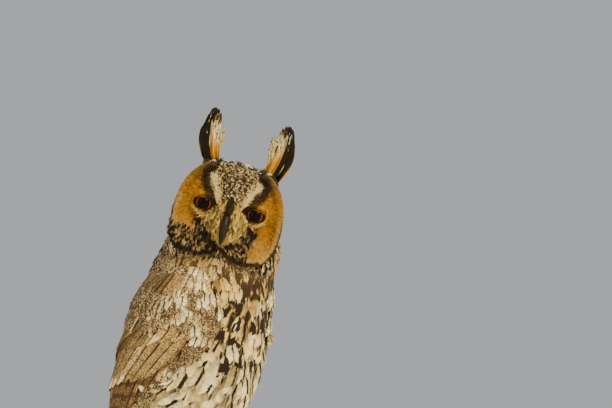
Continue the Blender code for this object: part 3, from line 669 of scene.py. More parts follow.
# %% [markdown]
# Away from the face the owl is streaked. On the upper breast the dark centres are broad and run
# together in blotches, down the belly they thin to a line with a few bars on large pale feathers, and
# over the mantle the ground turns grey-brown and finely speckled, which hides the owl against bark.

# %% Colours of the body
BREAST = np.array([0.88, 0.57, 0.15])
BELLY = np.array([1.0, 0.77, 0.32])
FLUFF = np.array([0.72, 0.46, 0.13])
SUNLIT = np.array([1.0, 0.84, 0.44])
GREY_BROWN = np.array([0.36, 0.225, 0.080])
LEG_BUFF = np.array([0.74, 0.52, 0.22])
MARK = np.array([0.022, 0.013, 0.005])
TUFT_SPOT, TUFT_SPOT_DEPTH = (0.0255, 0.0350), 0.001
# Half width and length of a feather on each part.
ON_BREAST, ON_BELLY, ON_NECK = np.array([[0.0062, 0.0215], [0.0074, 0.0320], [0.0048, 0.0160]])
ON_CROWN, ON_NAPE, ON_RUFF = np.array([[0.0022, 0.0072], [0.0038, 0.0132], [0.0018, 0.0070]])
ON_LEG, ON_TOE = np.array([[0.0015, 0.0066], [0.0009, 0.0032]])
LENGTH_BY_TUFT = 0.0078
# Strengths of streak, bars and speckle.
BACK_MARKS, CROWN_MARKS, NAPE_MARKS = np.array([[0.30, 0, 0.55], [0.10, 0, 0.55], [0.40, 0, 0.35]])


def marks(streak, bars, speckle):
    """The strengths of the three markings as one array, from numbers or arrays."""
    return np.stack(np.broadcast_arrays(streak, bars, speckle), axis=-1)


def body_paint(points, dapple, slow):
    """Ground, marking, size and share of black feathers at each spot."""
    height = points[:, 2]
    front = -np.cos(np.radians(round_angle(points)))
    local = into_head(points)
    across, behind, up = np.abs(local[:, 0]), local[:, 1], local[:, 2]
    belly = ramp(0.228, 0.152, height)
    upper = ramp(0.232, 0.258, height)
    ground = blend(blend(BREAST, BELLY, belly), FLUFF, upper * 0.8)
    ground = ground * (0.80 + 0.34 * dapple)[:, None]
    # Random patches of breast and belly: some are darkened towards brown, partly a tone of the coat and
    # partly painted shade between fluffed feathers. Others are lightened towards SUNLIT as painted
    # highlights, less so on the upper breast.
    cloud = patches(points, 0.012, 5)
    ground = blend(ground, BROWN * 2.2, ramp(0.42, 0.15, cloud) * (0.55 + 0.1 * belly + 0.3 * upper))
    ground = blend(ground, SUNLIT, ramp(0.50, 0.80, cloud) * (0.75 - 0.55 * upper))
    streak = (0.71 - 0.38 * belly + 0.03 * upper) * (0.66 + 0.6 * slow)
    marking = marks(streak, 0.04 + 0.22 * belly, 0.06 + 0.24 * upper)
    size = blend(ON_BREAST, ON_BELLY, belly)
    back = ramp(-0.05, -0.45, front)
    ground = blend(ground, GREY_BROWN * (0.75 + 0.6 * dapple)[:, None], back)
    marking = blend(marking, BACK_MARKS, back)
    vent = ramp(0.020, 0.040, points[:, 1]) * ramp(0.145, 0.125, height)
    ground = blend(ground, BELLY * 0.9, vent)
    marking = marking * (1 - vent[:, None] * [0.8, 0, 1])
    size = blend(size, ON_NECK, ramp(0.084, 0.070, head_reach(points)))
    nape = ramp(-0.004, 0.012, behind)
    throat = ramp(-0.029, -0.036, up) * (1 - nape) * (1 - ramp(0.016, 0.025, across))
    head = ramp(0.068, 0.058, head_reach(points)) * (1 - throat)
    nape = nape * head
    ground = blend(ground, BUFF * (0.75 + 0.5 * dapple)[:, None], head)
    marking[:, 0] *= 1 - 0.32 * throat
    marking = blend(marking, blend(CROWN_MARKS, NAPE_MARKS, nape), head)
    size = blend(size, blend(ON_CROWN, ON_NAPE, nape), head)
    rim = rim_share(local)
    ruff = ramp(1.20, 1.08, rim) * ramp(0.020, 0.0, behind) * ramp(0.010, -0.010, up) * (1 - throat)
    ground = blend(ground, BUFF * 0.95, ruff * 0.7)
    marking[:, 0] *= 1 - ruff
    size = blend(size, ON_RUFF, ruff)
    thin_rim = ramp(1.06, 1.01, rim) * ramp(0.0, -0.010, behind) * (1 - throat)
    ground = blend(ground, BLACK * 2.5, thin_rim * 0.7)
    leg = on_leg(points)
    toe = leg * ramp(FOOT_TOP + 0.002, FOOT_TOP - 0.006, height)
    ground = blend(ground, LEG_BUFF * (0.85 + 0.3 * dapple)[:, None], leg)
    marking = marking * (1 - leg)[:, None]
    size = blend(size, blend(ON_LEG, ON_TOE, toe), leg)
    crown = head * ramp(0.030, 0.010, behind) * ramp(0.020, 0.032, up)
    return ground, marking, size, np.maximum(ruff * 0.45, head * 0.10 + crown * 0.52)


def patches(points, size=0.0190, seed=11):
    """A soft random value from 0 to 1 that changes slowly over the owl, the same on each run."""
    rng = np.random.default_rng(seed)
    waves = unit(rng.normal(size=(14, 3))) * (2 * math.pi / size)
    total = np.sin(points @ waves.T + rng.uniform(0, 2 * math.pi, 14)).sum(axis=1)
    return 0.5 + 0.5 * np.tanh(total / 4.2)


# %% Paint the skin
def paint_all(points):
    """What the feather at each spot is like, by name, as one value or one row for each spot."""
    dapple = patches(points)
    slow = patches(points * [1, 1, 0.55], 0.030, 17)
    ground, marking, size, black = body_paint(points, dapple, slow)
    face = on_face(points)
    local = into_head(points)
    face_ground, face_black, white = face_paint(local, dapple)
    marking = marking * (1 - face)[:, None]
    marking[:, 2] += 0.55 * brow_wedge(np.abs(local[:, 0]), local[:, 2]) * face
    face_width, face_length, lift = face_size(local)
    from_tuft = np.hypot(np.abs(local[:, 0]) - TUFT_SPOT[0], local[:, 2] - TUFT_SPOT[1])
    by_tuft = ramp(0.011, 0.005, from_tuft) * (1 - face)
    by_tuft = by_tuft * ramp(0.022, 0.012, np.abs(local[:, 1] - TUFT_SPOT_DEPTH))
    black = mixed(black, face_black, face)
    return {
        "ground": blend(ground, face_ground, face),
        "marking": marking,
        "half_width": mixed(size[:, 0], face_width, face),
        "length": mixed(mixed(size[:, 1], face_length, face), LENGTH_BY_TUFT, by_tuft),
        "lift": mixed(0.20, lift, face) + 0.50 * by_tuft,
        "black": np.maximum(black, by_tuft * 0.45),
        "white": white * face + 0.22 * (black > 0.25) * (1 - face),
    }


painted = paint_all(skin_points)
skin_ground = blend(blend(painted["ground"], BLACK, painted["black"] * 0.6), WHITE, painted["white"] * 0.5)
# The skin takes the colours of the feathers over it, darkened to 0.8 as painted shade for where it shows
# deep between them.
keep_values(skin.data, ground=colours(skin_ground * 0.8), mark=one_colour(MARK, len(skin_points)),
            marking=painted["marking"])
print("skin painted")

# %% [markdown]
# The coat's finish reads what each feather carries. Along and across the vane are stored on its
# points, so a streak is where the way across is small, bars are waves along, blotches are slow noise
# and speckles fine noise, both cut off sharply. More noise makes the edges uneven, because no feather
# has ruled lines.

# %% Finishes of skin and coat
BLOTCH_LEAN = 0.55
FROST = (0.95, 0.75, 0.36)


def coat_finish(name):
    made = Finish(name, 0.85, Sheen_Weight=0.05, Sheen_Roughness=0.5, Specular_IOR_Level=0.12)
    ground = made.attribute("ground", "Color")
    mark = made.attribute("mark", "Color")
    across, along, chance = made.parts(made.attribute("vane", "Vector"))
    streak, bars, speckle = made.parts(made.attribute("marking", "Vector"))
    uneven = made.noise(520.0) - 0.5
    seed = made.attribute("seed")
    turned = {"Vector": made.place(), "Rotation": (0, BLOTCH_LEAN, 0), "Scale": (1, 1, 2.2)}
    cloud = made.noise(255.0, 1.5, made.node("ShaderNodeMapping", {"vector_type": "TEXTURE"}, turned))
    blotch = (cloud + streak * 0.25).within(0.59, 0.66) * streak.within(0.30, 0.50)
    blotch = blotch * across.math("ABSOLUTE").within(1.05, 0.70)
    aside = (across + seed * 0.30 - 0.15).math("ABSOLUTE") + uneven * 0.3
    shaft = (aside - streak * 0.65).within(0.10, -0.06) * along.within(1.02, 0.86)
    shaft = shaft * streak.within(0.02, 0.10)
    is_streak = 1 - (1 - blotch) * (1 - shaft)
    wave = (along * 26.0 + uneven * 4.0 + seed * 6.3).math("SINE")
    is_bar = wave.within(0.35, 0.75) * bars * across.math("ABSOLUTE").within(0.05, 0.3)
    grain = made.noise(950.0, 3.0)
    is_speckle = (grain + speckle * 0.22).within(0.60, 0.68) * speckle.within(0.03, 0.4)
    marked = 1 - (1 - is_streak) * (1 - is_bar) * (1 - is_speckle)
    # Each feather's tone varies at random with its chance and seed. The vane is also darkened towards its
    # root as painted shade, where the feather over it would shadow it.
    shade = (0.82 + chance * 0.16 + seed * 0.18) * (0.50 + along.within(0.35, 0.92) * 0.57)
    lit = made.scaled(ground, shade)
    frost = (grain - speckle * 0.10).within(0.41, 0.35) * speckle.within(0.25, 0.60)
    marked_over = made.mix(marked, lit, mark)
    made.colour(made.mix(frost * 0.75, marked_over, FROST))
    made.bump(grain, 0.0003, 0.5)
    return made.material


def skin_finish():
    made = Finish("skin_down", 0.9, Specular_IOR_Level=0.15)
    speckle = made.parts(made.attribute("marking", "Vector"))[2]
    grain = made.noise(420.0, 3.0)
    marked = (grain + speckle * 0.2).within(0.56, 0.66)
    made.colour(made.mix(marked * 0.6, made.attribute("ground", "Color"), made.attribute("mark", "Color")))
    made.bump(grain, 0.0006, 0.7)
    return made.material


COAT = coat_finish("coat_feathers")
skin.data.materials.append(skin_finish())

# %% [markdown]
# The feathers to plant. A contour feather is a shaft with barbs, and the barbs part at the rim, which
# is why plumage looks soft. Here each barb is a narrow blade of three triangles, so the rim frays by
# itself. The plumes of the face have no closed vane at all: each is a small spray of fine blades.

# %% Shapes of feathers
def add_blade(points, faces, values, path, widths, value_rows):
    """A tapered blade along a path of two or more points that ends in a tip."""
    first = len(points)
    for k in range(len(path) - 1):
        place, aside = path[k]
        points.append(place - aside * widths[k])
        points.append(place + aside * widths[k])
        values += [value_rows[k]] * 2
    points.append(path[-1][0])
    values.append(value_rows[-1])
    for k in range(len(path) - 2):
        low = first + 2 * k
        faces.append((low, low + 1, low + 3, low + 2))
    last = first + 2 * (len(path) - 2)
    faces.append((last, last + 1, last + 2))


def vane_height(across, along, droop):
    """A vane leaves the skin, arches over and comes back down at its tip, and is cupped across."""
    return along * (1 - along) * droop - 0.10 * across**2 * along


def barbed_vane(name, barbs, droop, sweep, seed):
    """A feather one long and one half wide, as blades from a shaft to an uneven rim."""
    rng = np.random.default_rng(seed)
    points, faces, values = [], [], []
    for k in range(barbs):
        start = 0.04 + 0.80 * k / (barbs - 1)
        for side in (-1, 1):
            chance = rng.uniform()
            end = min(1.03, start + sweep * (1 - 0.35 * start) + rng.uniform(-0.03, 0.03))
            reach = math.sin(math.pi * min(0.98, 0.16 + 0.80 * start)) ** 0.55 * rng.uniform(0.94, 1.04)
            path, rows = [], []
            for share in (0.0, 0.55, 1.0):
                across = side * reach * share**0.85
                along = start + (end - start) * share**1.25
                place = np.array([across, along, vane_height(across, along, droop) + 0.004 * chance])
                aside = unit(np.array([side * (end - start), -reach * 0.5, 0.0]))
                path.append((place, aside))
                rows.append((across, along, chance))
            width = 0.62 / barbs
            add_blade(points, faces, values, path, (width * 1.1, width * 1.5, 0), rows)
    chance = rng.uniform()
    path, rows = [], []
    for along in (0.0, 0.5, 0.86, 1.04):
        path.append((np.array([0, along, vane_height(0, along, droop) + 0.006]), np.array([1.0, 0, 0])))
        rows.append((0.0, along, chance))
    add_blade(points, faces, values, path, (0.10, 0.14, 0.10, 0), rows)
    mesh = mesh_from(name, points, faces)
    keep_values(mesh, vane=np.array(values))
    return mesh


def spray(name, blades, fan, droop, width, seed):
    """Fine plumes that leave one root and part a little."""
    rng = np.random.default_rng(seed)
    points, faces, values = [], [], []
    for k in range(blades):
        lean = (k / max(1, blades - 1) - 0.5) * 2 * fan + rng.uniform(-0.1, 0.1) * fan
        long = rng.uniform(0.72, 1.05)
        chance = rng.uniform()
        path, rows = [], []
        for share in (0.0, 0.5, 1.0):
            along = long * share
            across = lean * share**1.2
            rise = vane_height(0, share, droop) + rng.uniform(0, 0.05) * share
            aside = unit(np.array([1.0, -lean * 0.3, rng.uniform(-0.4, 0.4)]))
            path.append((np.array([across, along, rise]), aside))
            rows.append((across, along, chance))
        add_blade(points, faces, values, path, (width, width * 0.9, 0), rows)
    mesh = mesh_from(name, points, faces)
    keep_values(mesh, vane=np.array(values))
    return mesh


def shape_set(name, makers):
    """A collection of a few like shapes, one of which is picked for each root."""
    made = bpy.data.collections.new(name)
    helpers.children.link(made)
    for k, mesh in enumerate(makers):
        add_object(f"{name}_{k}", mesh, made)
    return made


SHAPES = {
    "contour": shape_set("contour", [barbed_vane("contour", 44, 0.34, 0.40, 20 + k) for k in range(5)]),
    "small": shape_set("small", [barbed_vane("small", 6, 0.30, 0.36, 30 + k) for k in range(5)]),
    "plume": shape_set("plume", [spray("plume", 6, 0.9, 0.36, 0.16, 40 + k) for k in range(6)]),
    "bristle": shape_set("bristle", [spray("bristle", 3, 0.5, 0.5, 0.20, 50 + k) for k in range(6)]),
}

# %% [markdown]
# Two node trees do the repeating. The first spreads roots over a zone of the skin, no two nearer
# than a spacing, and notes which way is out. The second stands one shape on each root, turned by its
# lie and its way out and scaled by its size, and makes them real, because instances aren't exported.

# %% Trees that spread and plant
def new_tree(name, inputs):
    tree = bpy.data.node_groups.new(name, "GeometryNodeTree")
    tree.interface.new_socket("Geometry", in_out="INPUT", socket_type="NodeSocketGeometry")
    for label, kind in inputs:
        tree.interface.new_socket(label, in_out="INPUT", socket_type="NodeSocket" + kind)
    tree.interface.new_socket("Geometry", in_out="OUTPUT", socket_type="NodeSocketGeometry")
    return tree


def tree_node(tree, kind, inputs=None, **settings):
    made = tree.nodes.new(kind)
    for name, value in settings.items():
        setattr(made, name, value)
    for name, value in (inputs or {}).items():
        if isinstance(value, bpy.types.NodeSocket):
            tree.links.new(value, made.inputs[name])
        else:
            made.inputs[name].default_value = value
    return made


def spread_tree():
    tree = new_tree("spread_roots", [("Spacing", "Float"), ("Seed", "Int")])
    given = tree_node(tree, "NodeGroupInput").outputs
    zone = tree_node(tree, "GeometryNodeInputNamedAttribute", {"Name": "zone"}, data_type="FLOAT")
    spacing = given["Spacing"]
    tight = tree_node(tree, "ShaderNodeMath", {0: spacing, 1: spacing}, operation="MULTIPLY")
    most = tree_node(tree, "ShaderNodeMath", {0: 2.2, 1: tight.outputs[0]}, operation="DIVIDE")
    inputs = {
        "Mesh": given["Geometry"], "Distance Min": spacing, "Density Max": most.outputs[0],
        "Density Factor": zone.outputs["Attribute"], "Seed": given["Seed"],
    }
    spread = tree_node(tree, "GeometryNodeDistributePointsOnFaces", inputs, distribute_method="POISSON")
    inputs = {"Geometry": spread.outputs["Points"], "Name": "out", "Value": spread.outputs["Normal"]}
    noted = tree_node(tree, "GeometryNodeStoreNamedAttribute", inputs, data_type="FLOAT_VECTOR",
                      domain="POINT")
    points = tree_node(tree, "GeometryNodePointsToVertices", {"Points": noted.outputs["Geometry"]})
    tree_node(tree, "NodeGroupOutput", {"Geometry": points.outputs["Mesh"]})
    return tree


def plant_tree():
    tree = new_tree("plant_vanes", [("Shapes", "Collection"), ("Finish", "Material")])
    given = tree_node(tree, "NodeGroupInput").outputs
    read = {}
    for name in ("lie", "out", "size", "kind"):
        kind = "FLOAT" if name == "kind" else "FLOAT_VECTOR"
        node = tree_node(tree, "GeometryNodeInputNamedAttribute", {"Name": name}, data_type=kind)
        read[name] = node.outputs["Attribute"]
    inputs = {"Primary Axis": read["out"], "Secondary Axis": read["lie"]}
    turn = tree_node(tree, "FunctionNodeAxesToRotation", inputs, primary_axis="Z", secondary_axis="Y")
    shapes = tree_node(tree, "GeometryNodeCollectionInfo", {"Collection": given["Shapes"]})
    shapes.inputs["Separate Children"].default_value = True
    shapes.inputs["Reset Children"].default_value = True
    inputs = {
        "Points": given["Geometry"], "Instance": shapes.outputs[0], "Instance Index": read["kind"],
        "Pick Instance": True, "Rotation": turn.outputs[0], "Scale": read["size"],
    }
    planted = tree_node(tree, "GeometryNodeInstanceOnPoints", inputs)
    real = tree_node(tree, "GeometryNodeRealizeInstances", {"Geometry": planted.outputs[0]})
    inputs = {"Geometry": real.outputs[0], "Material": given["Finish"]}
    finished = tree_node(tree, "GeometryNodeSetMaterial", inputs)
    tree_node(tree, "NodeGroupOutput", {"Geometry": finished.outputs[0]})
    return tree


def run_tree(made, tree, **inputs):
    """Puts a tree on an object, sets its inputs by their identifiers, and keeps the plain result."""
    modifier = made.modifiers.new(tree.name, "NODES")
    modifier.node_group = tree
    labels = {item.name: item.identifier for item in tree.interface.items_tree if item.in_out == "INPUT"}
    for label, value in inputs.items():
        modifier[labels[label]] = value
    return settled(made)


SPREAD = spread_tree()
PLANT = plant_tree()


def spread_over(made, zone, spacing, seed):
    """Roots over a surface where zone, one value for each of its points, is above 0."""
    copy = add_object("zone_copy", made.data.copy(), helpers)
    for name in ("ground", "mark", "marking"):
        copy.data.attributes.remove(copy.data.attributes[name])
    keep_values(copy.data, zone=zone)
    mesh = run_tree(copy, SPREAD, Spacing=spacing, Seed=seed)
    roots, out = points_of(mesh), unit(read_values(mesh, "out").astype(float))
    bpy.data.objects.remove(copy)
    return roots, out


# %% [markdown]
# For the model that is taken out of Blender, each feather also needs a place on a flat map where its
# colours are baked. Its root's place on the unrolled skin gives it: the head opens out flat from the
# middle of the face, the body unrolls round its line, and the feather itself is a tiny patch there.

# %% Where each feather lies on the unrolled skin
PATCH = 0.003
SWING, TILT_SPREAD, SIZE_SPREAD = 0.20, (0.7, 1.3), (0.80, 1.14)


def unrolled(points):
    local = into_head(points) - [0, 0.010, 0]
    reach = np.linalg.norm(local, axis=1)
    polar = np.arccos(np.clip(-local[:, 1] / np.maximum(reach, 1e-6), -1, 1)) / math.pi
    around = np.arctan2(local[:, 0], local[:, 2])
    head_map = np.stack([0.25 + 0.24 * polar * np.sin(around), 0.75 + 0.24 * polar * np.cos(around)], axis=1)
    turn = (round_angle(points) / 360 + 0.5) % 1
    body_map = np.stack([0.01 + 0.97 * turn, 0.01 + 0.48 * np.clip(points[:, 2] / 0.32, 0, 1)], axis=1)
    is_head = reach < 0.060
    return np.where(is_head[:, None], head_map, body_map)


def add_map(mesh, places):
    """Gives a mesh its flat map, from a place on it for each point."""
    corners = np.zeros(len(mesh.loops), dtype=np.int32)
    mesh.loops.foreach_get("vertex_index", corners)
    layer = mesh.uv_layers.new(name="OFBake")
    layer.data.foreach_set("uv", np.clip(places, 0, 1)[corners].astype(np.float32).ravel())


def plant(name, roots, out, lie, size, shapes, tilt, seed, sink=0.0, **values):
    """Stands a shape on each root. Size is half width and length, and tilt lifts it off the skin."""
    rng = np.random.default_rng(seed)
    count = len(roots)
    lie = unit(lie + np.cross(lie, out) * rng.normal(0, SWING, (count, 1)))
    tilt = (tilt * rng.uniform(*TILT_SPREAD, count))[:, None]
    raised = lie * np.cos(tilt) + out * np.sin(tilt)
    upright = out * np.cos(tilt) - lie * np.sin(tilt)
    half_width, length = size
    scale = rng.uniform(*SIZE_SPREAD, count)
    sizes = np.stack([half_width * scale, length * scale, length * scale], axis=1)
    mesh = mesh_from(name, roots - out * sink)
    kind = rng.integers(0, len(shapes.objects), count).astype(float)
    spot = np.concatenate([unrolled(roots), np.zeros((count, 1))], axis=1)
    keep_values(mesh, lie=raised, out=upright, size=sizes, kind=kind, spot=spot,
                seed=rng.uniform(size=count), **values)
    made = add_object(name, mesh)
    run_tree(made, PLANT, Shapes=shapes, Finish=COAT)
    made.data.shade_smooth()
    spot, vane = (read_values(made.data, label)[:, :2] for label in ("spot", "vane"))
    add_map(made.data, spot + (vane * [0.5, 1.0] + [0, -0.5]) * PATCH)
    print(name, count, "feathers,", len(made.data.polygons), "faces")
    return made


# %% Plant the coat
SPECKLE_SIZE = 0.0030
PLAIN_SHARE, PLAIN_STREAK = 0.3, 0.15
HEAD_REACH, NECK_REACH, BELLY_TOP = 0.064, 0.080, 0.205


def coat_piece(name, zone, spacing, shapes, seed):
    """Roots over a zone, each painted for where its feather shows and not for where it is rooted."""
    roots, out = spread_over(skin, zone, spacing, seed)
    count = len(roots)
    lie = lie_of_coat(roots, out)
    rooted = paint_all(roots)
    face = on_face(roots)
    shown = roots + lie * (rooted["length"] * np.where(face > 0.5, 0.6, 0.75))[:, None]
    painted = paint_all(shown)
    ground, marking = painted["ground"], painted["marking"]
    rng = np.random.default_rng(seed + 100)
    clustered = patches(shown, SPECKLE_SIZE, seed) + rng.uniform(0, 0.30, count)
    draw = np.argsort(np.argsort(clustered)) / count
    is_black = draw < painted["black"]
    ground[is_black] = BLACK * 1.6
    ground[draw > 1 - painted["white"]] = WHITE * 0.95
    strength = rng.uniform(0.6, 1.3, count)
    marking[:, 0] *= strength * np.where(rng.uniform(size=count) < PLAIN_SHARE, PLAIN_STREAK, 1)
    marking[is_black] = 0
    brownish = ramp(0.225, 0.262, shown[:, 2]) * (head_reach(shown) > 0.060) * 0.45
    values = {"ground": colours(ground), "mark": colours(blend(MARK, BROWN, brownish)), "marking": marking}
    if name == "face_coat":
        keep = (face > 0.8) & (eye_share(into_head(roots)) > 1.15)
    else:
        keep = face < 0.5
    values = {label: array[keep] for label, array in values.items()}
    half_width, length, lift = (rooted[label][keep] for label in ("half_width", "length", "lift"))
    return plant(name, roots[keep], out[keep], lie[keep], (half_width, length), shapes, lift, seed, **values)


skin_reach = head_reach(skin_points)
bare = (1 - on_face(skin_points)) * (1 - on_leg(skin_points))
is_belly = skin_points[:, 2] < BELLY_TOP
front_half = -np.cos(np.radians(round_angle(skin_points))) > 0
is_neck = (skin_reach >= HEAD_REACH) & (skin_reach < NECK_REACH)
# Each zone's name, share of the skin, spacing of roots, shapes and seed.
COAT_ZONES = (
    ("breast_coat", bare * (skin_reach >= NECK_REACH) * front_half * ~is_belly, 0.0043, "contour", 3),
    ("belly_coat", bare * front_half * is_belly, 0.0056, "contour", 9),
    ("back_coat", bare * (skin_reach >= NECK_REACH) * ~front_half, 0.0052, "contour", 4),
    ("neck_coat", bare * is_neck, 0.0036, "contour", 5),
    ("head_coat", bare * (skin_reach < HEAD_REACH), 0.0017, "small", 6),
    ("leg_coat", on_leg(skin_points), 0.0013, "bristle", 7),
    ("face_coat", on_face(skin_points), 0.00080, "plume", 8),
)
coat = {}
for name, zone, spacing, shapes, seed in COAT_ZONES:
    coat[name] = coat_piece(name, zone, spacing, SHAPES[shapes], seed)

# %% [markdown]
# Beside the bill grow rictal bristles: feathers that are little more than a shaft. They start at the
# bridge and below the eyes and run down both sides of the bill to the chin, so that only a narrow
# strip of the horn is seen. They are a second, longer planting over the plumes of that patch.

# %% Bristles round the bill
BRISTLE_END = np.array([0.0, -0.0380, -0.0350])
BRISTLE_HALF_WIDTH, BRISTLE_LENGTHS, BRISTLE_SPACING = 0.00095, (0.0075, 0.0120), 0.00085
LOWEST_BRISTLE, BARE_ACROSS, BARE_BELOW = -0.0255, 0.0038, -0.0030


def plant_bristles(seed):
    local = into_head(skin_points)
    patch = lores(np.abs(local[:, 0]), local[:, 2]) * on_face(skin_points)
    roots, out = spread_over(skin, patch * (local[:, 2] > LOWEST_BRISTLE), BRISTLE_SPACING, seed)
    local = into_head(roots)
    shown = (np.abs(local[:, 0]) > BARE_ACROSS) | (local[:, 2] > BARE_BELOW)
    roots, out, local = roots[shown], out[shown], local[shown]
    rng = np.random.default_rng(seed)
    across, count = np.abs(local[:, 0]), len(roots)
    inward = unit(BRISTLE_END - local)
    straight = np.tile([0.0, -0.3, -1.0], (count, 1))
    by_bill = ramp(0.0115, 0.0070, across)
    bridge = ramp(0.0034, 0.0019, across)
    way = blend(inward, straight, np.maximum(0.45 - 0.3 * by_bill, bridge))
    lie = along_surface(way @ TURN_FROM_HEAD, out)
    length = rng.uniform(*BRISTLE_LENGTHS, count) * ramp(-0.036, -0.018, local[:, 2] - 0.004)
    tone = rng.uniform(size=count)[:, None]
    pale = OLIVE * (0.62 + 0.5 * tone) * (1 + 0.5 * by_bill)[:, None]
    ground = np.where(tone < 0.70, pale, np.where(tone < 0.90, CREAM * 0.95, BROWN * 0.8))
    ground = blend(ground, BROWN * (0.35 + 0.7 * tone), bridge)
    size = (BRISTLE_HALF_WIDTH, np.maximum(length, 0.003))
    tilt = 0.14 + 0.56 * by_bill * (1 - 0.55 * bridge)
    return plant("bristles", roots, out, lie, size, SHAPES["plume"], tilt, seed, ground=colours(ground),
                 mark=one_colour(MARK, count), marking=np.zeros((count, 3)))


bristles = plant_bristles(17)

# %% [markdown]
# The large feathers of wing, tail and tufts are few, and each is seen by itself, so each is a vane of
# its own: two webs that dip away from a raised shaft, closed on its underside, with a tip that is
# worn a little uneven. A small class gathers them in one mesh and gives each its own strip of the map.

# %% Large feathers
VANE_COLUMNS = np.array([-1.0, -0.56, -0.075, 0.0, 0.075, 0.56, 1.0])
VANE_ROWS = 16
VANE_THICKNESS = 0.0003
SHAFT_RISE = 0.00022
COVERT_OUTLINE = ((0, 0.45), (0.14, 0.82), (0.42, 1), (0.74, 0.97), (0.88, 0.78), (0.95, 0.54), (1, 0.16))
FLIGHT_OUTLINE = ((0, 0.40), (0.20, 0.85), (0.50, 1), (0.82, 0.86), (0.93, 0.60), (0.98, 0.32), (1, 0.10))
TUFT_OUTLINE = ((0, 0.50), (0.35, 1), (0.75, 0.92), (0.92, 0.58), (1, 0.14))


class Quills:
    """Vanes gathered into one mesh."""

    def __init__(self, seed):
        self.rng = np.random.default_rng(seed)
        self.sheets = []

    def add(self, place, outline, half_width, length, rows, paint, columns=VANE_COLUMNS, cup=0.0009):
        """A vane. Place gives points for (along, across metres, lift), and paint gives its colours."""
        along = np.linspace(0, 1, rows) ** 0.85
        widths = np.interp(along, *np.array(outline).T) * half_width
        worn = self.rng.uniform(0.93, 1.04, (rows, 2))
        across, along = np.meshgrid(columns, along)
        metres = across * widths[:, None] * np.where(across < 0, worn[:, :1], worn[:, 1:])
        shaft = SHAFT_RISE * (np.abs(across) < 0.01) * (1 - along)
        lift = shaft - cup * across**2
        chance = self.rng.uniform()
        sheet = {
            "upper": place(along, metres, lift),
            "lower": place(along, metres, lift - shaft - VANE_THICKNESS),
            "vane": np.stack([across, along, across * 0 + chance], axis=-1),
            "web": np.stack([metres, along * length, across * 0 + chance * 3], axis=-1),
        }
        sheet["ground"], sheet["mark"], sheet["marking"] = paint(across, along, chance)
        self.sheets.append(sheet)

    def finished(self, name, finish):
        points, faces, first = [], [], 0
        kept = {label: [] for label in ("vane", "web", "ground", "mark", "marking")}
        spots = []
        strips = math.ceil(math.sqrt(len(self.sheets)))
        for number, sheet in enumerate(self.sheets):
            rows, columns = sheet["upper"].shape[:2]
            points += [sheet["upper"].reshape(-1, 3), sheet["lower"].reshape(-1, 3)]
            faces += sheet_faces(rows, columns, first)
            first += 2 * rows * columns
            for label, values in kept.items():
                values += [np.broadcast_to(sheet[label], (rows, columns, 3)).reshape(-1, 3)] * 2
            strip = np.array([number % strips, number // strips])
            inside = sheet["vane"][..., :2] * [0.42, 0.92] + [0.5, 0.04]
            spots += [((strip + inside) / strips).reshape(-1, 2)] * 2
        mesh = mesh_from(name, np.concatenate(points), faces)
        for label, values in kept.items():
            values = np.concatenate(values)
            is_colour = label in ("ground", "mark")
            keep_values(mesh, **{label: colours(values) if is_colour else values})
        add_map(mesh, np.concatenate(spots))
        mesh.materials.append(finish)
        print(name, len(self.sheets), "vanes,", len(mesh.polygons), "faces")
        return add_object(name, mesh)


def sheet_faces(rows, columns, first):
    """The faces of a closed sheet, from the numbers of its upper points and then its lower ones."""
    upper = first + np.arange(rows * columns).reshape(rows, columns)
    lower = upper + rows * columns
    faces = []
    for k in range(rows - 1):
        for i in range(columns - 1):
            faces.append((upper[k, i], upper[k, i + 1], upper[k + 1, i + 1], upper[k + 1, i]))
            faces.append((lower[k, i], lower[k + 1, i], lower[k + 1, i + 1], lower[k, i + 1]))
    rim = [(0, i) for i in range(columns)] + [(k, columns - 1) for k in range(1, rows)]
    rim += [(rows - 1, i) for i in range(columns - 2, -1, -1)] + [(k, 0) for k in range(rows - 2, 0, -1)]
    for corner, following in zip(rim, rim[1:] + rim[:1]):
        faces.append((upper[following], upper[corner], lower[corner], lower[following]))
    return faces


# %% [markdown]
# A web is made of barbs that run out from the shaft at a slant, so its finish reads the metres along
# and across: fine lines on that slant are its bump. Bars cross the whole feather, and the wavy
# speckling of an owl, called vermiculation, is noise stretched across the web.

# %% Finish of large feathers
BAR_SPACING = 0.0115
BARB_SPACING = 0.0008


def quill_finish(name, bar_spacing=BAR_SPACING):
    made = Finish(name, 0.75, Sheen_Weight=0.02, Specular_IOR_Level=0.07)
    across, _, chance = made.parts(made.attribute("vane", "Vector"))
    web = made.attribute("web", "Vector")
    aside, run, _ = made.parts(web)
    streak, bars, speckle = made.parts(made.attribute("marking", "Vector"))
    uneven = made.noise(180.0, 2.0, web) - 0.5
    wave = (run * (2 * math.pi / bar_spacing) + uneven * 2.4 + chance * 6.3).math("SINE")
    is_bar = wave.within(0.15, 0.45) * bars
    is_streak = (across.math("ABSOLUTE") + uneven * 0.3 - streak * 0.5).within(0.05, -0.03)
    is_streak = is_streak * streak.within(0.02, 0.10)
    grain = made.noise(760.0, 3.0, web, (1.0, 2.2, 1.0))
    is_speckle = (grain + speckle * 0.16).within(0.56, 0.63) * speckle.within(0.03, 0.3)
    marked = 1 - (1 - is_streak) * (1 - is_bar) * (1 - is_speckle)
    ground = made.attribute("ground", "Color")
    lit = made.scaled(ground, 0.84 + chance * 0.3)
    made.colour(made.mix(marked * 0.98, lit, made.attribute("mark", "Color")))
    barbs = ((run - aside.math("ABSOLUTE") * 0.8) * (2 * math.pi / BARB_SPACING)).math("SINE")
    made.bump(barbs * 0.3 + grain, 0.00010, 0.5)
    return made.material


WING_FINISH = quill_finish("wing_quills")

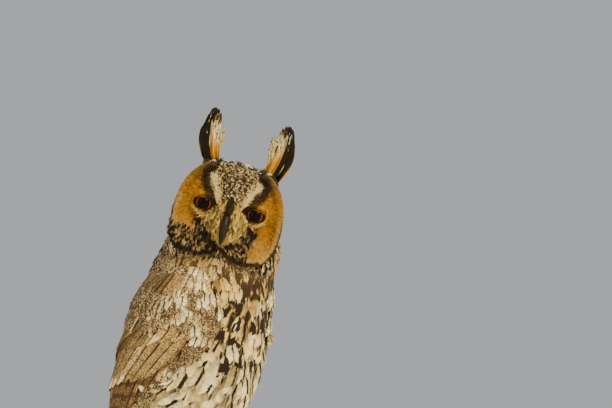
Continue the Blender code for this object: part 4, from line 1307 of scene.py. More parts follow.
# %% [markdown]
# A folded wing is a stack: flight feathers lowest, then their coverts, then smaller coverts and the
# scapulars on top, each tier hiding the roots of the one below. The solid gives the wing's outer face
# as a distance from the body's line, which is smoothed here, and the tiers are laid over that face.

# %% A folded wing as a surface
WING_ROWS, WING_COLUMNS = 64, 25
WING_SINK, WING_MARGIN = 0.0022, 0.003
RAY_ANGLES, RAY_LENGTH = np.arange(2, 178, 1.5), 0.12


def evened(table, rounds):
    """Averages each value with its neighbours along both ways of a table."""
    for _ in range(rounds):
        padded = np.pad(table, [(1, 1)] * table.ndim, mode="edge")
        for way in range(table.ndim):
            padded = (np.roll(padded, 1, way) + np.roll(padded, -1, way) + 2 * padded) / 4
        table = padded[tuple([slice(1, -1)] * table.ndim)]
    return table


class FoldedWing:
    def __init__(self, name, side):
        solid = nodes[name].data
        tree = BVHTree.FromPolygons([v.co for v in solid.vertices], [p.vertices for p in solid.polygons])
        low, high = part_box(name)
        self.side = side
        self.heights = np.linspace(high[2] - WING_MARGIN, low[2] + WING_MARGIN, WING_ROWS)
        starts, ends, reaches = [], [], []
        for height in self.heights:
            centre = Vector((0, float(line_y(height)), height))
            hits = []
            for angle in RAY_ANGLES:
                turn = math.radians(angle) * side
                way = Vector((math.sin(turn), math.cos(turn), 0))
                distance = tree.ray_cast(centre + way * RAY_LENGTH, -way, RAY_LENGTH)[3]
                if distance is not None:
                    hits.append((angle, RAY_LENGTH - distance))
            angles, found = np.array(hits).T
            starts.append(angles[0])
            ends.append(angles[-1])
            shares = np.linspace(angles[0], angles[-1], WING_COLUMNS)
            reaches.append(np.interp(shares, angles, found))
        self.starts, self.ends = evened(np.array(starts), 5), evened(np.array(ends), 5)
        self.reaches = evened(np.array(reaches), 3) - WING_SINK

    def at(self, height, values):
        """What a list of one value for each row is at a height."""
        return np.interp(-height, -self.heights, values)

    def place(self, height, share, lift):
        """A point over the wing's face: share runs from its edge on the back to its front edge."""
        row = self.at(height, np.arange(WING_ROWS))
        column = np.clip(share, 0, 1) * (WING_COLUMNS - 1)
        k, i = np.minimum(row.astype(int), WING_ROWS - 2), np.minimum(column.astype(int), WING_COLUMNS - 2)
        down, over = row - k, column - i
        near = self.reaches[k, i] * (1 - over) + self.reaches[k, i + 1] * over
        far = self.reaches[k + 1, i] * (1 - over) + self.reaches[k + 1, i + 1] * over
        start, end = self.at(height, self.starts), self.at(height, self.ends)
        turn = np.radians(start + (end - start) * share) * self.side
        out = near * (1 - down) + far * down + lift
        return np.stack([out * np.sin(turn), line_y(height) + out * np.cos(turn), height], axis=-1)

    def width(self, height):
        """Metres round the wing's face at a height."""
        start, end = self.at(height, self.starts), self.at(height, self.ends)
        return self.at(height, self.reaches.mean(axis=1)) * np.radians(end - start)


WINGS = {name: FoldedWing(name, side) for name, side in (("wing_right", -1), ("wing_left", 1))}

# %% [markdown]
# The tiers, as a table: how many feathers, their half width, how high the tier lies over the face, and
# between which heights and places round the wing its roots and its tips run. Flight feathers are
# tawny with dark bars, the secondaries greyer, the coverts finely speckled, and the scapulars carry
# the white spots that draw a line down the shoulder.

# %% Tiers of the wing
WING_TIERS = (
    ("primaries", 8, 0.0090, 0.0000, (0.146, 0.176), (0.0295, 0.090), (0.40, 0.94), (0.30, 0.96)),
    ("secondaries", 10, 0.0112, 0.0006, (0.191, 0.184), (0.084, 0.130), (0.08, 0.88), (0.09, 0.87)),
    ("primary_coverts", 5, 0.0080, 0.0012, (0.216, 0.218), (0.140, 0.1885), (0.70, 0.92), (0.82, 0.98)),
    ("greater_coverts", 10, 0.0098, 0.0018, (0.216, 0.218), (0.150, 0.168), (0.10, 0.80), (0.08, 0.82)),
    ("median_coverts", 9, 0.0092, 0.0025, (0.238, 0.240), (0.188, 0.202), (0.26, 0.88), (0.22, 0.90)),
    ("lesser_coverts", 10, 0.0076, 0.0031, (0.256, 0.254), (0.212, 0.226), (0.20, 0.92), (0.18, 0.92)),
    ("scapulars", 9, 0.0112, 0.0037, (0.260, 0.258), (0.170, 0.214), (0.14, 0.62), (0.06, 0.52)),
)
TAWNY = np.array([0.50, 0.25, 0.066])
WING_GREY = np.array([0.34, 0.205, 0.066])
WING_PALE = np.array([1.0, 0.66, 0.22])
WING_BROWN = np.array([0.200, 0.112, 0.040])
WING_DARK = np.array([0.050, 0.028, 0.010])
COVERT_MARK = np.array([0.058, 0.030, 0.010])
SPOT_WHITE = np.array([0.96, 0.74, 0.36])


def wing_paint(tier, front):
    """Colours of one tier. Front says how near the wing's front edge the feather lies, from 0 to 1."""
    def paint(across, along, chance):
        web = ramp(-0.2, 0.5, across)
        if tier == "primaries":
            ground = blend(TAWNY, WING_GREY * 1.1, ramp(0.45, 0.85, along))
            marking = (0.10, 0.95, 0.45)
        elif tier == "secondaries":
            ground = blend(WING_GREY * 1.15, TAWNY, web * ramp(0.8, 0.3, along) * 0.7)
            marking = (0.10, 0.75, 0.60)
        elif tier == "primary_coverts":
            ground = blend(WING_BROWN, TAWNY, web * 0.5)
            marking = (0.30, 0.55, 0.40)
        elif tier == "scapulars":
            spot = ramp(0.1, 0.6, across) * ramp(0.60, 0.72, along) * ramp(0.97, 0.88, along)
            ground = blend(WING_GREY * 1.1, SPOT_WHITE, spot * (chance > 0.4))
            marking = marks(0.30, 0.10, 0.50 * (1 - spot))
        else:
            light = tier == "greater_coverts"
            spot = web * ramp(0.80, 0.90, along) * (chance > 0.55)
            ground = WING_GREY * (1.15 if light else 1.0) + (WING_PALE - WING_GREY) * front
            ground = blend(blend(ground, TAWNY, ramp(0.6, 0.1, along) * 0.5), SPOT_WHITE, spot)
            marking = marks(0.18, 0.20, (0.62 - 0.14 * front) * (1 - spot))
        return ground * (0.65 + 0.55 * chance), WING_DARK, marking
    return paint


def lay_wing(name, seed):
    wing, quills = WINGS[name], Quills(seed)
    rng = np.random.default_rng(seed + 1)
    for tier, count, half_width, lift, roots, tips, root_shares, tip_shares in WING_TIERS:
        for part in np.linspace(0, 1, count):
            root = np.interp(part, (0, 1), roots) + rng.uniform(-0.002, 0.002)
            tip = np.interp(part, (0, 1), tips) + rng.uniform(0, 0.0022)
            begin, end = np.interp(part, (0, 1), root_shares), np.interp(part, (0, 1), tip_shares)
            end = end + rng.uniform(-0.008, 0.008)
            layer = lift + rng.uniform(-0.00015, 0.00015)

            def place(along, metres, rise):
                height = root + (tip - root) * along
                share = begin + (end - begin) * along + metres / np.maximum(wing.width(height), 0.01)
                sunk = 0.0026 * np.maximum(0, 1 - along / 0.28) ** 1.5
                lean = 0.0007 * metres / half_width
                free = 0.0005 * ramp(0.7, 1.0, along)
                return wing.place(height, share, layer + rise + lean + free - sunk)

            outline = FLIGHT_OUTLINE if tier in ("primaries", "secondaries") else COVERT_OUTLINE
            paint = wing_paint(tier, float(ramp(0.35, 0.75, end)))
            quills.add(place, outline, half_width * rng.uniform(0.95, 1.06), root - tip, VANE_ROWS, paint)
    return quills.finished("quills_" + name, WING_FINISH)


wing_quills = {name: lay_wing(name, seed) for name, seed in (("wing_right", 61), ("wing_left", 63))}

# %% [markdown]
# Under the stack lies the wing's own skin, one thin closed sheet. It is painted dark brown, as painted
# shade where it shows between feathers, and small coverts are planted on its shoulder and its front
# edge.

# %% The wing's skin and its small coverts
TOP_DIVE, TOP_REACH = 0.011, 0.028
WING_SKIN_FOOT, WING_SKIN_ROWS, WING_SKIN_COLUMNS = 0.052, 56, 30
# How high its two faces lie, each away from its edges and then at them.
UPPER_FACE, LOWER_FACE = (-0.0006, -0.0014), (-0.0030, -0.0016)


def wing_skin(name):
    """The skin, its points, where each lies from the back edge to the front one, and if it bears coverts."""
    wing = WINGS[name]
    heights = np.linspace(wing.heights[0], WING_SKIN_FOOT, WING_SKIN_ROWS)
    heights, shares = np.meshgrid(heights, np.linspace(0, 1, WING_SKIN_COLUMNS), indexing="ij")
    from_top = np.clip((wing.heights[0] - heights) / TOP_REACH, 0, 1) ** 0.7
    edge = np.clip(np.minimum(shares, 1 - shares) * 6, 0, 1) ** 0.5
    dive = TOP_DIVE * (1 - from_top)
    points = np.concatenate([
        wing.place(heights, shares, inner * edge + outer * (1 - edge) - dive).reshape(-1, 3)
        for inner, outer in (UPPER_FACE, LOWER_FACE)
    ])
    mesh = mesh_from("skin_" + name, points, sheet_faces(WING_SKIN_ROWS, WING_SKIN_COLUMNS, 0))
    made = add_object("skin_" + name, mesh)
    face_outwards(mesh)
    count = len(points)
    # Dark brown with speckle: painted shade for the gaps between the feathers laid over it.
    keep_values(mesh, ground=one_colour(WING_BROWN, count), mark=one_colour(WING_DARK, count),
                marking=np.tile([0, 0, 0.6], (count, 1)))
    mesh.materials.append(skin.data.materials[0])
    plantable = (np.arange(count) < count / 2) & np.tile((from_top > 0.15).ravel(), 2)
    return made, points, np.tile(shares.ravel(), 2), plantable


COVERT_HALF_WIDTH, COVERT_LENGTHS, COVERT_SPACING = 0.0048, (0.013, 0.016), 0.0034
COVERT_TILT, COVERT_SINK = 0.10, -0.0026


def small_coverts(name, seed):
    made, points, shares, plantable = wing_skin(name)
    high = ramp(0.216, 0.232, points[:, 2])
    front = ramp(0.86, 0.93, shares) * ramp(0.12, 0.14, points[:, 2])
    zone = np.maximum(high, front) * plantable
    roots, out = spread_over(made, zone, COVERT_SPACING, seed)
    dapple = patches(roots)
    wing = WINGS[name]
    start, end = (wing.at(roots[:, 2], edge) for edge in (wing.starts, wing.ends))
    share = (np.abs(round_angle(roots)) - start) / (end - start)
    pale = ramp(0.45, 0.80, share)
    ground = blend(WING_GREY, TAWNY, dapple * 0.5)
    ground = blend(ground, WING_PALE, pale * 0.85)
    mottled = patches(roots, 0.011, 23)
    ground = blend(ground, WING_BROWN * 0.85, ramp(0.48, 0.66, mottled) * 0.92)
    clear = ramp(0.46, 0.26, mottled) * pale
    ground = blend(ground, SUNLIT, clear * 0.9)
    marking = marks(0.34 - 0.16 * pale, 0.30 * pale, 0.52 - 0.06 * pale - 0.34 * clear)
    lie = along_surface(along_line(roots[:, 2]), out)
    size = (COVERT_HALF_WIDTH, mixed(*COVERT_LENGTHS, dapple))
    values = {"ground": colours(ground), "mark": one_colour(COVERT_MARK, len(roots)), "marking": marking}
    planted = plant("coverts_" + name, roots, out, lie, size, SHAPES["contour"], COVERT_TILT, seed,
                    COVERT_SINK, **values)
    return made, planted


wing_skins, wing_coverts = {}, {}
for name, seed in (("wing_right", 71), ("wing_left", 73)):
    wing_skins[name], wing_coverts[name] = small_coverts(name, seed)

# %% [markdown]
# The tail. Twelve feathers lie in a closed stack, the middle pair on top, and only their edges and
# tips fan out. Each is tawny-grey with about eleven narrow dark bars, and its web is broad and blunt.

# %% The tail
TAIL_LINE = ((0.124, 0.0375), (0.111, 0.0445), (0.081, 0.0590), (0.051, 0.0730), (0.023, 0.0858))
TAIL_ROOT, TAIL_TIP = 0.124, 0.0235
TAIL_SPREAD = (0.0020, 0.0029)
TAIL_ROWS, TAIL_CUP = 18, 0.0007
TAIL_HALF_WIDTH, TAIL_LENGTH, TAIL_BAR_SPACING = 0.0102, 0.11, 0.0098
TAIL_TOP, TAIL_LAYER, TAIL_STEP = 0.0017, 0.0006, 0.0011
TAIL_OUT = np.array([0.0, 0.90, 0.43])
TAIL_OUTLINE = ((0, 0.45), (0.2, 0.85), (0.6, 1), (0.88, 0.94), (0.95, 0.74), (0.985, 0.46), (1, 0.2))


def tail_paint(pair):
    def paint(across, along, chance):
        ground = mixed(TAWNY * 0.95, WING_GREY * 1.25, 0.75 if pair == 0 else 0.35)
        return ground, WING_DARK, (0.08, 0.95, 0.30 if pair == 0 else 0.15)
    return paint


def lay_tail(seed):
    quills = Quills(seed)
    heights, backs = np.array(TAIL_LINE)[::-1].T
    for pair in range(6):
        for side in (-1, 1):
            tip = TAIL_TIP + TAIL_STEP * pair**1.3
            layer = TAIL_TOP - TAIL_LAYER * (pair + (0.5 if side > 0 else 0))

            def place(along, metres, rise):
                height = mixed(TAIL_ROOT, tip, along)
                x = side * (0.4 + pair) * mixed(*TAIL_SPREAD, along) + metres
                middle_line = np.stack([x, np.interp(height, heights, backs), height], axis=-1)
                sag = 0.0014 * np.sin(along * math.pi) * 0.5
                return middle_line + TAIL_OUT * (layer + rise - sag + 0.0002)[..., None]

            paint = tail_paint(pair)
            quills.add(place, TAIL_OUTLINE, TAIL_HALF_WIDTH, TAIL_LENGTH, TAIL_ROWS, paint, cup=TAIL_CUP)
    return quills.finished("tail_quills", quill_finish("tail_feathers", TAIL_BAR_SPACING))


tail_quills = lay_tail(81)

# %% [markdown]
# The ear tufts aren't ears. They are two upright bunches of narrow feathers that the owl raises when
# it's alert: blackish on the outer side, with a thin buff edge low down, whitish above and orange
# below on the inner side, where the last few fray out as wisps. They are laid one by one in the head's
# frame, the shorter ones in front and behind.

# %% The ear tufts
TUFT_ROOTS = (0.0162, 0.0202, 0.0240, 0.0274, 0.0305, 0.0332)
TUFT_TIPS = (0.0206, 0.0250, 0.0292, 0.0330, 0.0360, 0.0380)
TUFT_HEIGHTS = (0.0640, 0.0752, 0.0812, 0.0822, 0.0780, 0.0680)
TUFT_ROOT_HEIGHT, TUFT_LEAN, TUFT_BOW = 0.0300, 0.10, 0.0042
TURNED_TUFT_WIDTH, TURNED_TUFT_LEAN = 0.88, 0.0036
TUFT_VANES, TUFT_DEPTH, TUFT_HALF_WIDTH = 230, 0.0030, 0.0017
TUFT_COLUMNS, TUFT_ROWS, TUFT_CUP = np.array([-1, -0.1, 0, 0.1, 1]), 9, 0.0004
WISPY_EDGE, WISP_SPREAD, WISP_HALF_WIDTH = 0.11, 0.0042, 0.0007
# Turns counting numbers into places that are spread evenly however many there are.
GOLDEN_SHARE = 0.618034


def tuft_paint(out, begin, end):
    """Colours of one vane of a tuft, by where each spot of it lies in the whole tuft."""
    def paint(across, along, chance):
        aside, up = out + 0.12 * across, begin + (end - begin) * along
        ragged, second = (chance - 0.5) * 0.22, (chance * 7.0) % 1
        inner = ramp(0.49, 0.39, aside + ragged * 0.6 + 0.26 * ramp(0.72, 1.0, up))
        above = ramp(0.46, 0.70, up + ragged * 0.8)
        warm = blend(ORANGE * (0.60 + 0.45 * chance), PALE_ORANGE * 0.85, ramp(0.34, 0.62, up))
        ground = blend(np.broadcast_to(BLACK * 0.8, (*across.shape, 3)), warm, inner)
        light = BLACK * 2 if second < 0.15 else WHITE * (0.70 + 0.35 * chance)
        ground = blend(ground, light, inner * above)
        rim = ramp(1.01, 1.08, aside) * ramp(0.55, 0.35, up)
        ground = blend(ground, ORANGE, rim)
        wisp = ramp(0.08, -0.04, aside) * ramp(0.15, 0.5, up)
        ground = blend(ground, CREAM, wisp * 0.6)
        ground = blend(ground, BLACK * 2, ramp(0.94, 1.0, up) * 0.8)
        if 0.45 < out < 0.76 and second > 0.60:
            spot = ramp(0.8, 0.5, np.abs(across)) * ramp(0.1, 0.5, np.sin(along * 11 + chance * 40))
            spot = spot * ramp(0.20, 0.30, up) * ramp(0.92, 0.84, up)
            ground = blend(ground, WHITE * 0.8, spot)
        streak = inner * mixed(0.4 if second > 0.6 else 0, 0.45 if chance > 0.6 else 0.1, above)
        return ground, BLACK * 1.4, marks(streak, 0, 0.42 * inner * above)
    return paint


def lay_tuft(name, side, seed):
    quills = Quills(seed)
    rng = np.random.default_rng(seed + 1)
    spots = np.linspace(0, 1, len(TUFT_ROOTS))
    for k in range(TUFT_VANES):
        out = np.clip((k * GOLDEN_SHARE) % 1 + rng.normal(0, 0.01), 0, 1)
        layer = rng.uniform(-1, 1)
        end = 1 - 0.55 * layer**2 * rng.uniform(0.3, 1)
        begin = max(0, end - rng.uniform(0.50, 0.70))
        root, tip, height = (np.interp(out, spots, row) for row in (TUFT_ROOTS, TUFT_TIPS, TUFT_HEIGHTS))
        depth = layer * TUFT_DEPTH * (1 - abs(2 * out - 1) * 0.6)
        wispy = out < WISPY_EDGE
        sway = rng.normal(0, 0.0006) - wispy * rng.uniform(0, WISP_SPREAD)

        def place(along, metres, rise):
            run = mixed(begin, end, along)
            up = mixed(TUFT_ROOT_HEIGHT, height, run)
            x = mixed(root, tip, run) + TUFT_BOW * np.sin(math.pi * run)
            if side < 0:
                x = mixed(TUFT_ROOTS[0], x, TURNED_TUFT_WIDTH) + TURNED_TUFT_LEAN * run
            x = x + metres + sway * along
            back = 0.001 + (up - 0.033) * TUFT_LEAN + depth * (0.5 + 0.5 * along) - rise
            back = back + 0.0010 * (2 * out - 1) * metres / 0.002
            local = np.stack([side * x, back, up], axis=-1)
            return from_head(local.reshape(-1, 3)).reshape(local.shape)

        half_width = (WISP_HALF_WIDTH if wispy else TUFT_HALF_WIDTH) * rng.uniform(0.8, 1.2)
        length = (height - TUFT_ROOT_HEIGHT) * (end - begin)
        quills.add(place, TUFT_OUTLINE, half_width, length, TUFT_ROWS, tuft_paint(out, begin, end),
                   TUFT_COLUMNS * side, TUFT_CUP)
    return quills.finished("quills_" + name, TUFT_FINISH)


TUFT_FINISH = quill_finish("tuft_quills")
tufts = {name: lay_tuft(name, side, seed) for name, side, seed in
         (("ear_tuft_right", -1, 91), ("ear_tuft_left", 1, 93))}

# %% [markdown]
# The eyes. An owl's eye is fixed in its socket and looks straight ahead. Its iris is deep orange round
# a wide pupil, so each ball is made with its pole on its line of sight, and the angle from that line
# colours it. The lids are a dark ring on the ball, flattened above, which gives the owl its frown.

# %% Eyes
PUPIL_ANGLE, IRIS_ANGLE = 35, 44
EYE_RINGS, EYE_SEGMENTS = 40, 56
IRIS_DEEP, IRIS_BRIGHT, IRIS_SHADED = (0.20, 0.017, 0.002), (0.46, 0.062, 0.003), (0.035, 0.008, 0.003)
IRIS_RIM, BALL_DARK, PUPIL_BLACK = (0.06, 0.012, 0.003), (0.010, 0.006, 0.004), (0.002, 0.002, 0.002)


def eye_finish():
    made = Finish("eye", 0.5, Coat_Weight=0.10, Coat_Roughness=0.03, Specular_IOR_Level=0.02)
    angle, around, _ = made.parts(made.attribute("sight", "Vector"))
    beside = around.math("COSINE").math("ABSOLUTE").within(0.55, 1.0)
    streaks = made.noise(9.0, 3.0, made.attribute("sight", "Vector"), (0.06, 3.0, 1.0))
    iris = made.mix((streaks - 0.35) * 1.6, IRIS_DEEP, IRIS_BRIGHT)
    # The iris is painted darker above and below the pupil, as painted shade from the lids.
    iris = made.mix(beside, IRIS_SHADED, iris)
    iris = made.mix(angle.within(IRIS_ANGLE - 4, IRIS_ANGLE - 0.5), iris, IRIS_RIM)
    ball = made.mix(angle.within(IRIS_ANGLE - 0.5, IRIS_ANGLE + 1.0), iris, BALL_DARK)
    made.colour(made.mix(angle.within(PUPIL_ANGLE + 0.8, PUPIL_ANGLE - 0.6), ball, PUPIL_BLACK))
    return made.material


def eye_ball(name, side, finish):
    """A ball in rings from its back to its front, each point with its angle from the line of sight."""
    points, sight, rings = [], [], []
    centre = np.array([side * EYE_APART, EYE_DEPTH, 0])
    for k in range(EYE_RINGS, -1, -1):
        polar = math.pi * k / EYE_RINGS
        count = 1 if k in (0, EYE_RINGS) else EYE_SEGMENTS
        rings.append([len(points) + i for i in range(count)])
        for i in range(count):
            turn = 2 * math.pi * i / EYE_SEGMENTS
            aside, up = math.sin(polar) * math.cos(turn), math.sin(polar) * math.sin(turn)
            points.append(centre + np.array([aside, -math.cos(polar), up]) * EYE_RADIUS)
            sight.append((math.degrees(polar), turn, 0))
    mesh = mesh_from(name, from_head(np.array(points)), ring_faces(rings, EYE_SEGMENTS))
    keep_values(mesh, sight=np.array(sight))
    mesh.materials.append(finish)
    return add_object("ball_" + name, mesh)


EYE_FINISH = eye_finish()
eye_balls = {name: eye_ball(name, side, EYE_FINISH) for name, side in (("eye_right", -1), ("eye_left", 1))}

# %% The lids
# How far the outline of the opening is stretched, and how high the lid stands over the ball there.
LID_PROFILE = ((0.985, 0.00005), (0.99, 0.0004), (1.03, 0.0007), (1.08, 0.0007), (1.16, 0.0004),
               (1.28, -0.0002), (1.40, -0.0008))
LID_SEGMENTS = 72


def lid_edge(turn, side):
    """The outline of the opening, lower at its inner corner and flattened above."""
    wide, high = LID_OPENING
    x, z = wide * math.cos(turn), high * math.sin(turn)
    z = z * 0.80 if z > 0 else z * (0.92 + 0.05 * math.cos(turn))
    corner = 0.0009 * max(0, math.cos(turn)) ** 6 - 0.0016 * max(0, -math.cos(turn)) ** 4
    return side * x, z + corner


def lids(name, side):
    points, shades, rings = [], [], []
    centre = np.array([side * EYE_APART, EYE_DEPTH, 0])
    for stretch, rise in LID_PROFILE:
        rings.append([len(points) + i for i in range(LID_SEGMENTS)])
        for i in range(LID_SEGMENTS):
            x, z = lid_edge(2 * math.pi * i / LID_SEGMENTS, side)
            x, z = x * stretch, z * stretch + (stretch - 1) * 0.0016 * math.copysign(1, z)
            depth = math.sqrt(max((EYE_RADIUS + rise)**2 - x**2 - z**2, 1e-8))
            points.append(centre + [x, -depth, z])
            shades.append(stretch)
    points = np.array(points)
    mesh = mesh_from("lids_" + name, from_head(points), ring_faces(rings, LID_SEGMENTS))
    ground = face_paint(points, np.full(len(points), 0.5))[0]
    ground = blend(ground, BLACK, ramp(1.26, 1.10, np.array(shades)))
    keep_values(mesh, ground=colours(ground), mark=one_colour(BLACK, len(points)),
                marking=np.zeros((len(points), 3)))
    mesh.materials.append(LID_FINISH)
    return add_object("lids_" + name, mesh)


def lid_finish():
    made = Finish("lid_skin", 0.8, Specular_IOR_Level=0.08)
    grain = made.noise(900.0, 2.0)
    made.colour(made.mix(grain * 0.3, made.attribute("ground", "Color"), made.attribute("mark", "Color")))
    made.bump(grain, 0.0002, 0.6)
    return made.material


LID_FINISH = lid_finish()
eye_lids = {name: lids(name, side) for name, side in (("right", -1), ("left", 1))}

# %% [markdown]
# Bill and claws are horn, made of the same stuff as a nail: dark, satin, a little streaked along their
# length. The solids already have their hooks and nostrils, so a fine remesh of a copy only rounds them.

# %% Bill and claws
BILL_SHOWN = 0.80
BILL_VOXEL, BILL_SMOOTHING = 0.00035, 14
CLAW_VOXEL, CLAW_SMOOTHING = 0.0004, 2


def horn_finish(name, tone):
    made = Finish(name, 0.42, Specular_IOR_Level=0.18)
    streaks = made.noise(120.0, 4.0, None, (1.0, 1.0, 0.25))
    fine = made.noise(900.0, 2.0)
    dark, pale = (np.array(tone) * scale for scale in (0.55, 1.9))
    made.colour(made.mix((streaks - 0.3) * 1.4, tuple(dark), tuple(pale)))
    made.rough(0.30 + fine * 0.2)
    made.bump(streaks + fine * 0.3, 0.0002, 0.5)
    return made.material


bill_piece = softened("bill", ["bill_upper", "bill_lower"], BILL_VOXEL, BILL_SMOOTHING)
slimmed = into_head(points_of(bill_piece.data)) * [BILL_SHOWN, 1, 1]
set_points(bill_piece.data, from_head(slimmed))
bill_piece.data.materials.append(horn_finish("bill_horn", (0.015, 0.0090, 0.0026)))
claw_nodes = sorted(name for name in nodes if name.startswith("claw_"))
claws = softened("claws", claw_nodes, CLAW_VOXEL, CLAW_SMOOTHING)
claws.data.materials.append(horn_finish("claw_horn", (0.022, 0.019, 0.017)))
print("bill", len(bill_piece.data.polygons), "faces, claws", len(claws.data.polygons))

# %% [markdown]
# The perch is a short length of branch, sawn at both ends. Bark splits lengthwise as the wood inside
# it grows, so its relief is noise that is stretched along the branch and folded into sharp cracks. The
# mesh carries the large ridges and the finish the fine ones. The sawn ends show the year rings.

# %% The perch
PERCH_SIDES, PERCH_RINGS = 120, 150
PERCH_RADIUS = 0.0133
BARK_RELIEF = 0.0011
END_ROUNDING, END_REACH = 0.0008, 0.0012
SAWN_RINGS = (0.93, 0.62, 0.30, 0.0)
CRACK, RIDGE, LICHEN = (0.035, 0.026, 0.018), (0.215, 0.165, 0.110), (0.33, 0.35, 0.23)
PALE_RING, DARK_RING = (0.48, 0.34, 0.19), (0.30, 0.19, 0.095)
perch_middle = (PERCH_LOW + PERCH_HIGH) / 2


def bark_height(x, turn):
    """0 in a crack and 1 on a ridge, at a place along the branch and an angle round it."""
    around = Vector((math.cos(turn) * 1.9, math.sin(turn) * 1.9, x * 34))
    wavy = noise.noise(around * 0.8 + Vector((7, 3, 1))) * 0.8
    ridge = 1 - abs(noise.noise(around * 1.9 + Vector((wavy, wavy, 0))))
    small = 1 - abs(noise.noise(Vector((around.x * 4.6, around.y * 4.6, x * 130)) + Vector((5, 9, 2))))
    return 0.62 * ridge**2.2 + 0.38 * small**2


def perch_piece():
    points, cut, ridges = [], [], []
    start, end = PERCH_LOW[0], PERCH_HIGH[0]
    for x in np.linspace(start, end, PERCH_RINGS):
        eased = END_ROUNDING * max(0, 1 - min(x - start, end - x) / END_REACH)
        for i in range(PERCH_SIDES):
            turn = 2 * math.pi * i / PERCH_SIDES
            swell = 0.0007 * math.sin(2 * turn + 31 * x) + 0.0005 * math.sin(5 * turn - 70 * x)
            ridge = bark_height(x, turn)
            reach = PERCH_RADIUS + swell + (ridge - 0.62) * BARK_RELIEF - eased
            y, z = perch_middle[1:] + reach * np.array([math.cos(turn), math.sin(turn)])
            points.append((x, y, z))
            cut.append(0.0)
            ridges.append(ridge)
    rings = [[k * PERCH_SIDES + i for i in range(PERCH_SIDES)] for k in range(PERCH_RINGS)]
    faces = ring_faces(rings, PERCH_SIDES)
    for outline in (rings[0], rings[-1]):
        rim = outline
        for share in SAWN_RINGS:
            inner = [len(points) + i for i in range(PERCH_SIDES if share else 1)]
            for corner in outline[:len(inner)]:
                x, y, z = points[corner]
                y, z = mixed(perch_middle[1:], np.array([y, z]), share)
                points.append((x, y, z))
                cut.append(1.0)
                ridges.append(0.5)
            faces += ring_faces([rim, inner], PERCH_SIDES)
            rim = inner
    mesh = mesh_from("perch", points, faces)
    face_outwards(mesh)
    keep_values(mesh, sawn=np.array(cut), ridge=np.array(ridges))
    mesh.materials.append(bark_finish())
    return add_object("perch", mesh)


def bark_finish():
    made = Finish("bark", 0.85, Specular_IOR_Level=0.25)
    place = made.place()
    ridge = made.attribute("ridge")
    long = made.noise(95.0, 5.0, place, (0.35, 1.0, 1.0))
    fine = made.noise(700.0, 3.0)
    bark = made.mix(ridge.within(0.35, 0.85) * 0.8 + long * 0.3, CRACK, RIDGE)
    lichen = made.noise(60.0, 4.0).within(0.60, 0.68)
    bark = made.mix(lichen * 0.55, bark, LICHEN)
    offset = made.node("ShaderNodeMapping", inputs={"Vector": place, "Location": tuple(-perch_middle)})
    _, y, z = made.parts(offset)
    wobble = made.noise(70.0, 2.0) * 0.0016
    radius = (y * y + z * z).math("SQRT") + wobble
    rings = (radius * 5200).math("SINE").within(-0.4, 1.0)
    wood = made.mix(rings * 0.6, PALE_RING, DARK_RING)
    sawn = made.attribute("sawn")
    made.colour(made.mix(sawn.within(0.2, 0.6), bark, wood))
    made.bump(long * (1 - sawn) + fine * 0.5 + rings * sawn * 0.2, 0.0007, 0.8)
    return made.material


perch = perch_piece()
print("perch", len(perch.data.polygons), "faces")

# %% [markdown]
# The stand is a turned disc of dark wood with a moulded edge, and two steel rods with collars. A
# turned thing is one profile swept round an axis, so one function makes them all.

# %% Base and rods
BASE_PROFILE = (
    (0.0, 0.0), (0.1110, 0.0), (0.1142, 0.0006), (0.1150, 0.0022), (0.1150, 0.0056), (0.1143, 0.0066),
    (0.1128, 0.0070), (0.1121, 0.0080), (0.1112, 0.0100), (0.1092, 0.0114), (0.1060, 0.0120), (0.0, 0.0120),
)
# Shares of a rod's radius with heights over its foot, and then with heights under its top.
ROD_FOOT = ((0, 0), (1.9, 0), (1.9, 0.0022), (1.75, 0.0028), (1.15, 0.0030), (1, 0.0042))
ROD_TOP = ((1, 0.0125), (1.35, 0.0121), (1.35, 0.0099), (1, 0.0095), (1, 0), (0, 0))
WOOD_DARK, WOOD_WARM, WOOD_PORE = (0.050, 0.021, 0.009), (0.135, 0.062, 0.027), (0.022, 0.010, 0.005)
STEEL_DARK, STEEL_BRIGHT = (0.46, 0.46, 0.47), (0.66, 0.66, 0.67)
BASE_SIDES, ROD_SIDES = 160, 40
SHARP_EDGE = math.radians(50)


def turned_piece(name, profile, centre, sides):
    """A profile of (radius, height) pairs swept round an upright axis. It starts and ends on the axis."""
    points, rings = [], []
    for radius, height in profile:
        count = sides if radius > 0 else 1
        rings.append([len(points) + i for i in range(count)])
        for i in range(count):
            turn = 2 * math.pi * i / sides
            points.append((centre[0] + radius * math.cos(turn), centre[1] + radius * math.sin(turn), height))
    mesh = mesh_from(name, points, ring_faces(rings, sides))
    mesh.set_sharp_from_angle(angle=SHARP_EDGE)
    return add_object(name, mesh)


def stand_finish():
    made = Finish("stand_wood", 0.32, Coat_Weight=0.35, Coat_Roughness=0.12)
    place = made.place()
    wander = made.noise(9.0, 3.0, place, (1.0, 0.18, 1.0))
    bent = made.parts(place)[0] * 150 + wander * 12
    grain = bent.math("SINE").within(-0.9, 1.0)
    pores = made.noise(420.0, 3.0, place, (1.0, 0.06, 1.0))
    wood = made.mix(grain * 0.6 + pores * 0.4, WOOD_DARK, WOOD_WARM)
    made.colour(made.mix(pores.within(0.62, 0.72) * 0.6, wood, WOOD_PORE))
    made.rough(0.26 + pores * 0.2)
    made.bump(pores, 0.0001, 0.35)
    return made.material


def steel_finish():
    made = Finish("rod_steel", 0.30, Metallic=1.0)
    brushed = made.noise(60.0, 3.0, made.place(), (30.0, 30.0, 1.0))
    made.colour(made.mix(brushed, STEEL_DARK, STEEL_BRIGHT))
    made.rough(0.24 + brushed * 0.2)
    made.bump(brushed, 0.00005, 0.4)
    return made.material


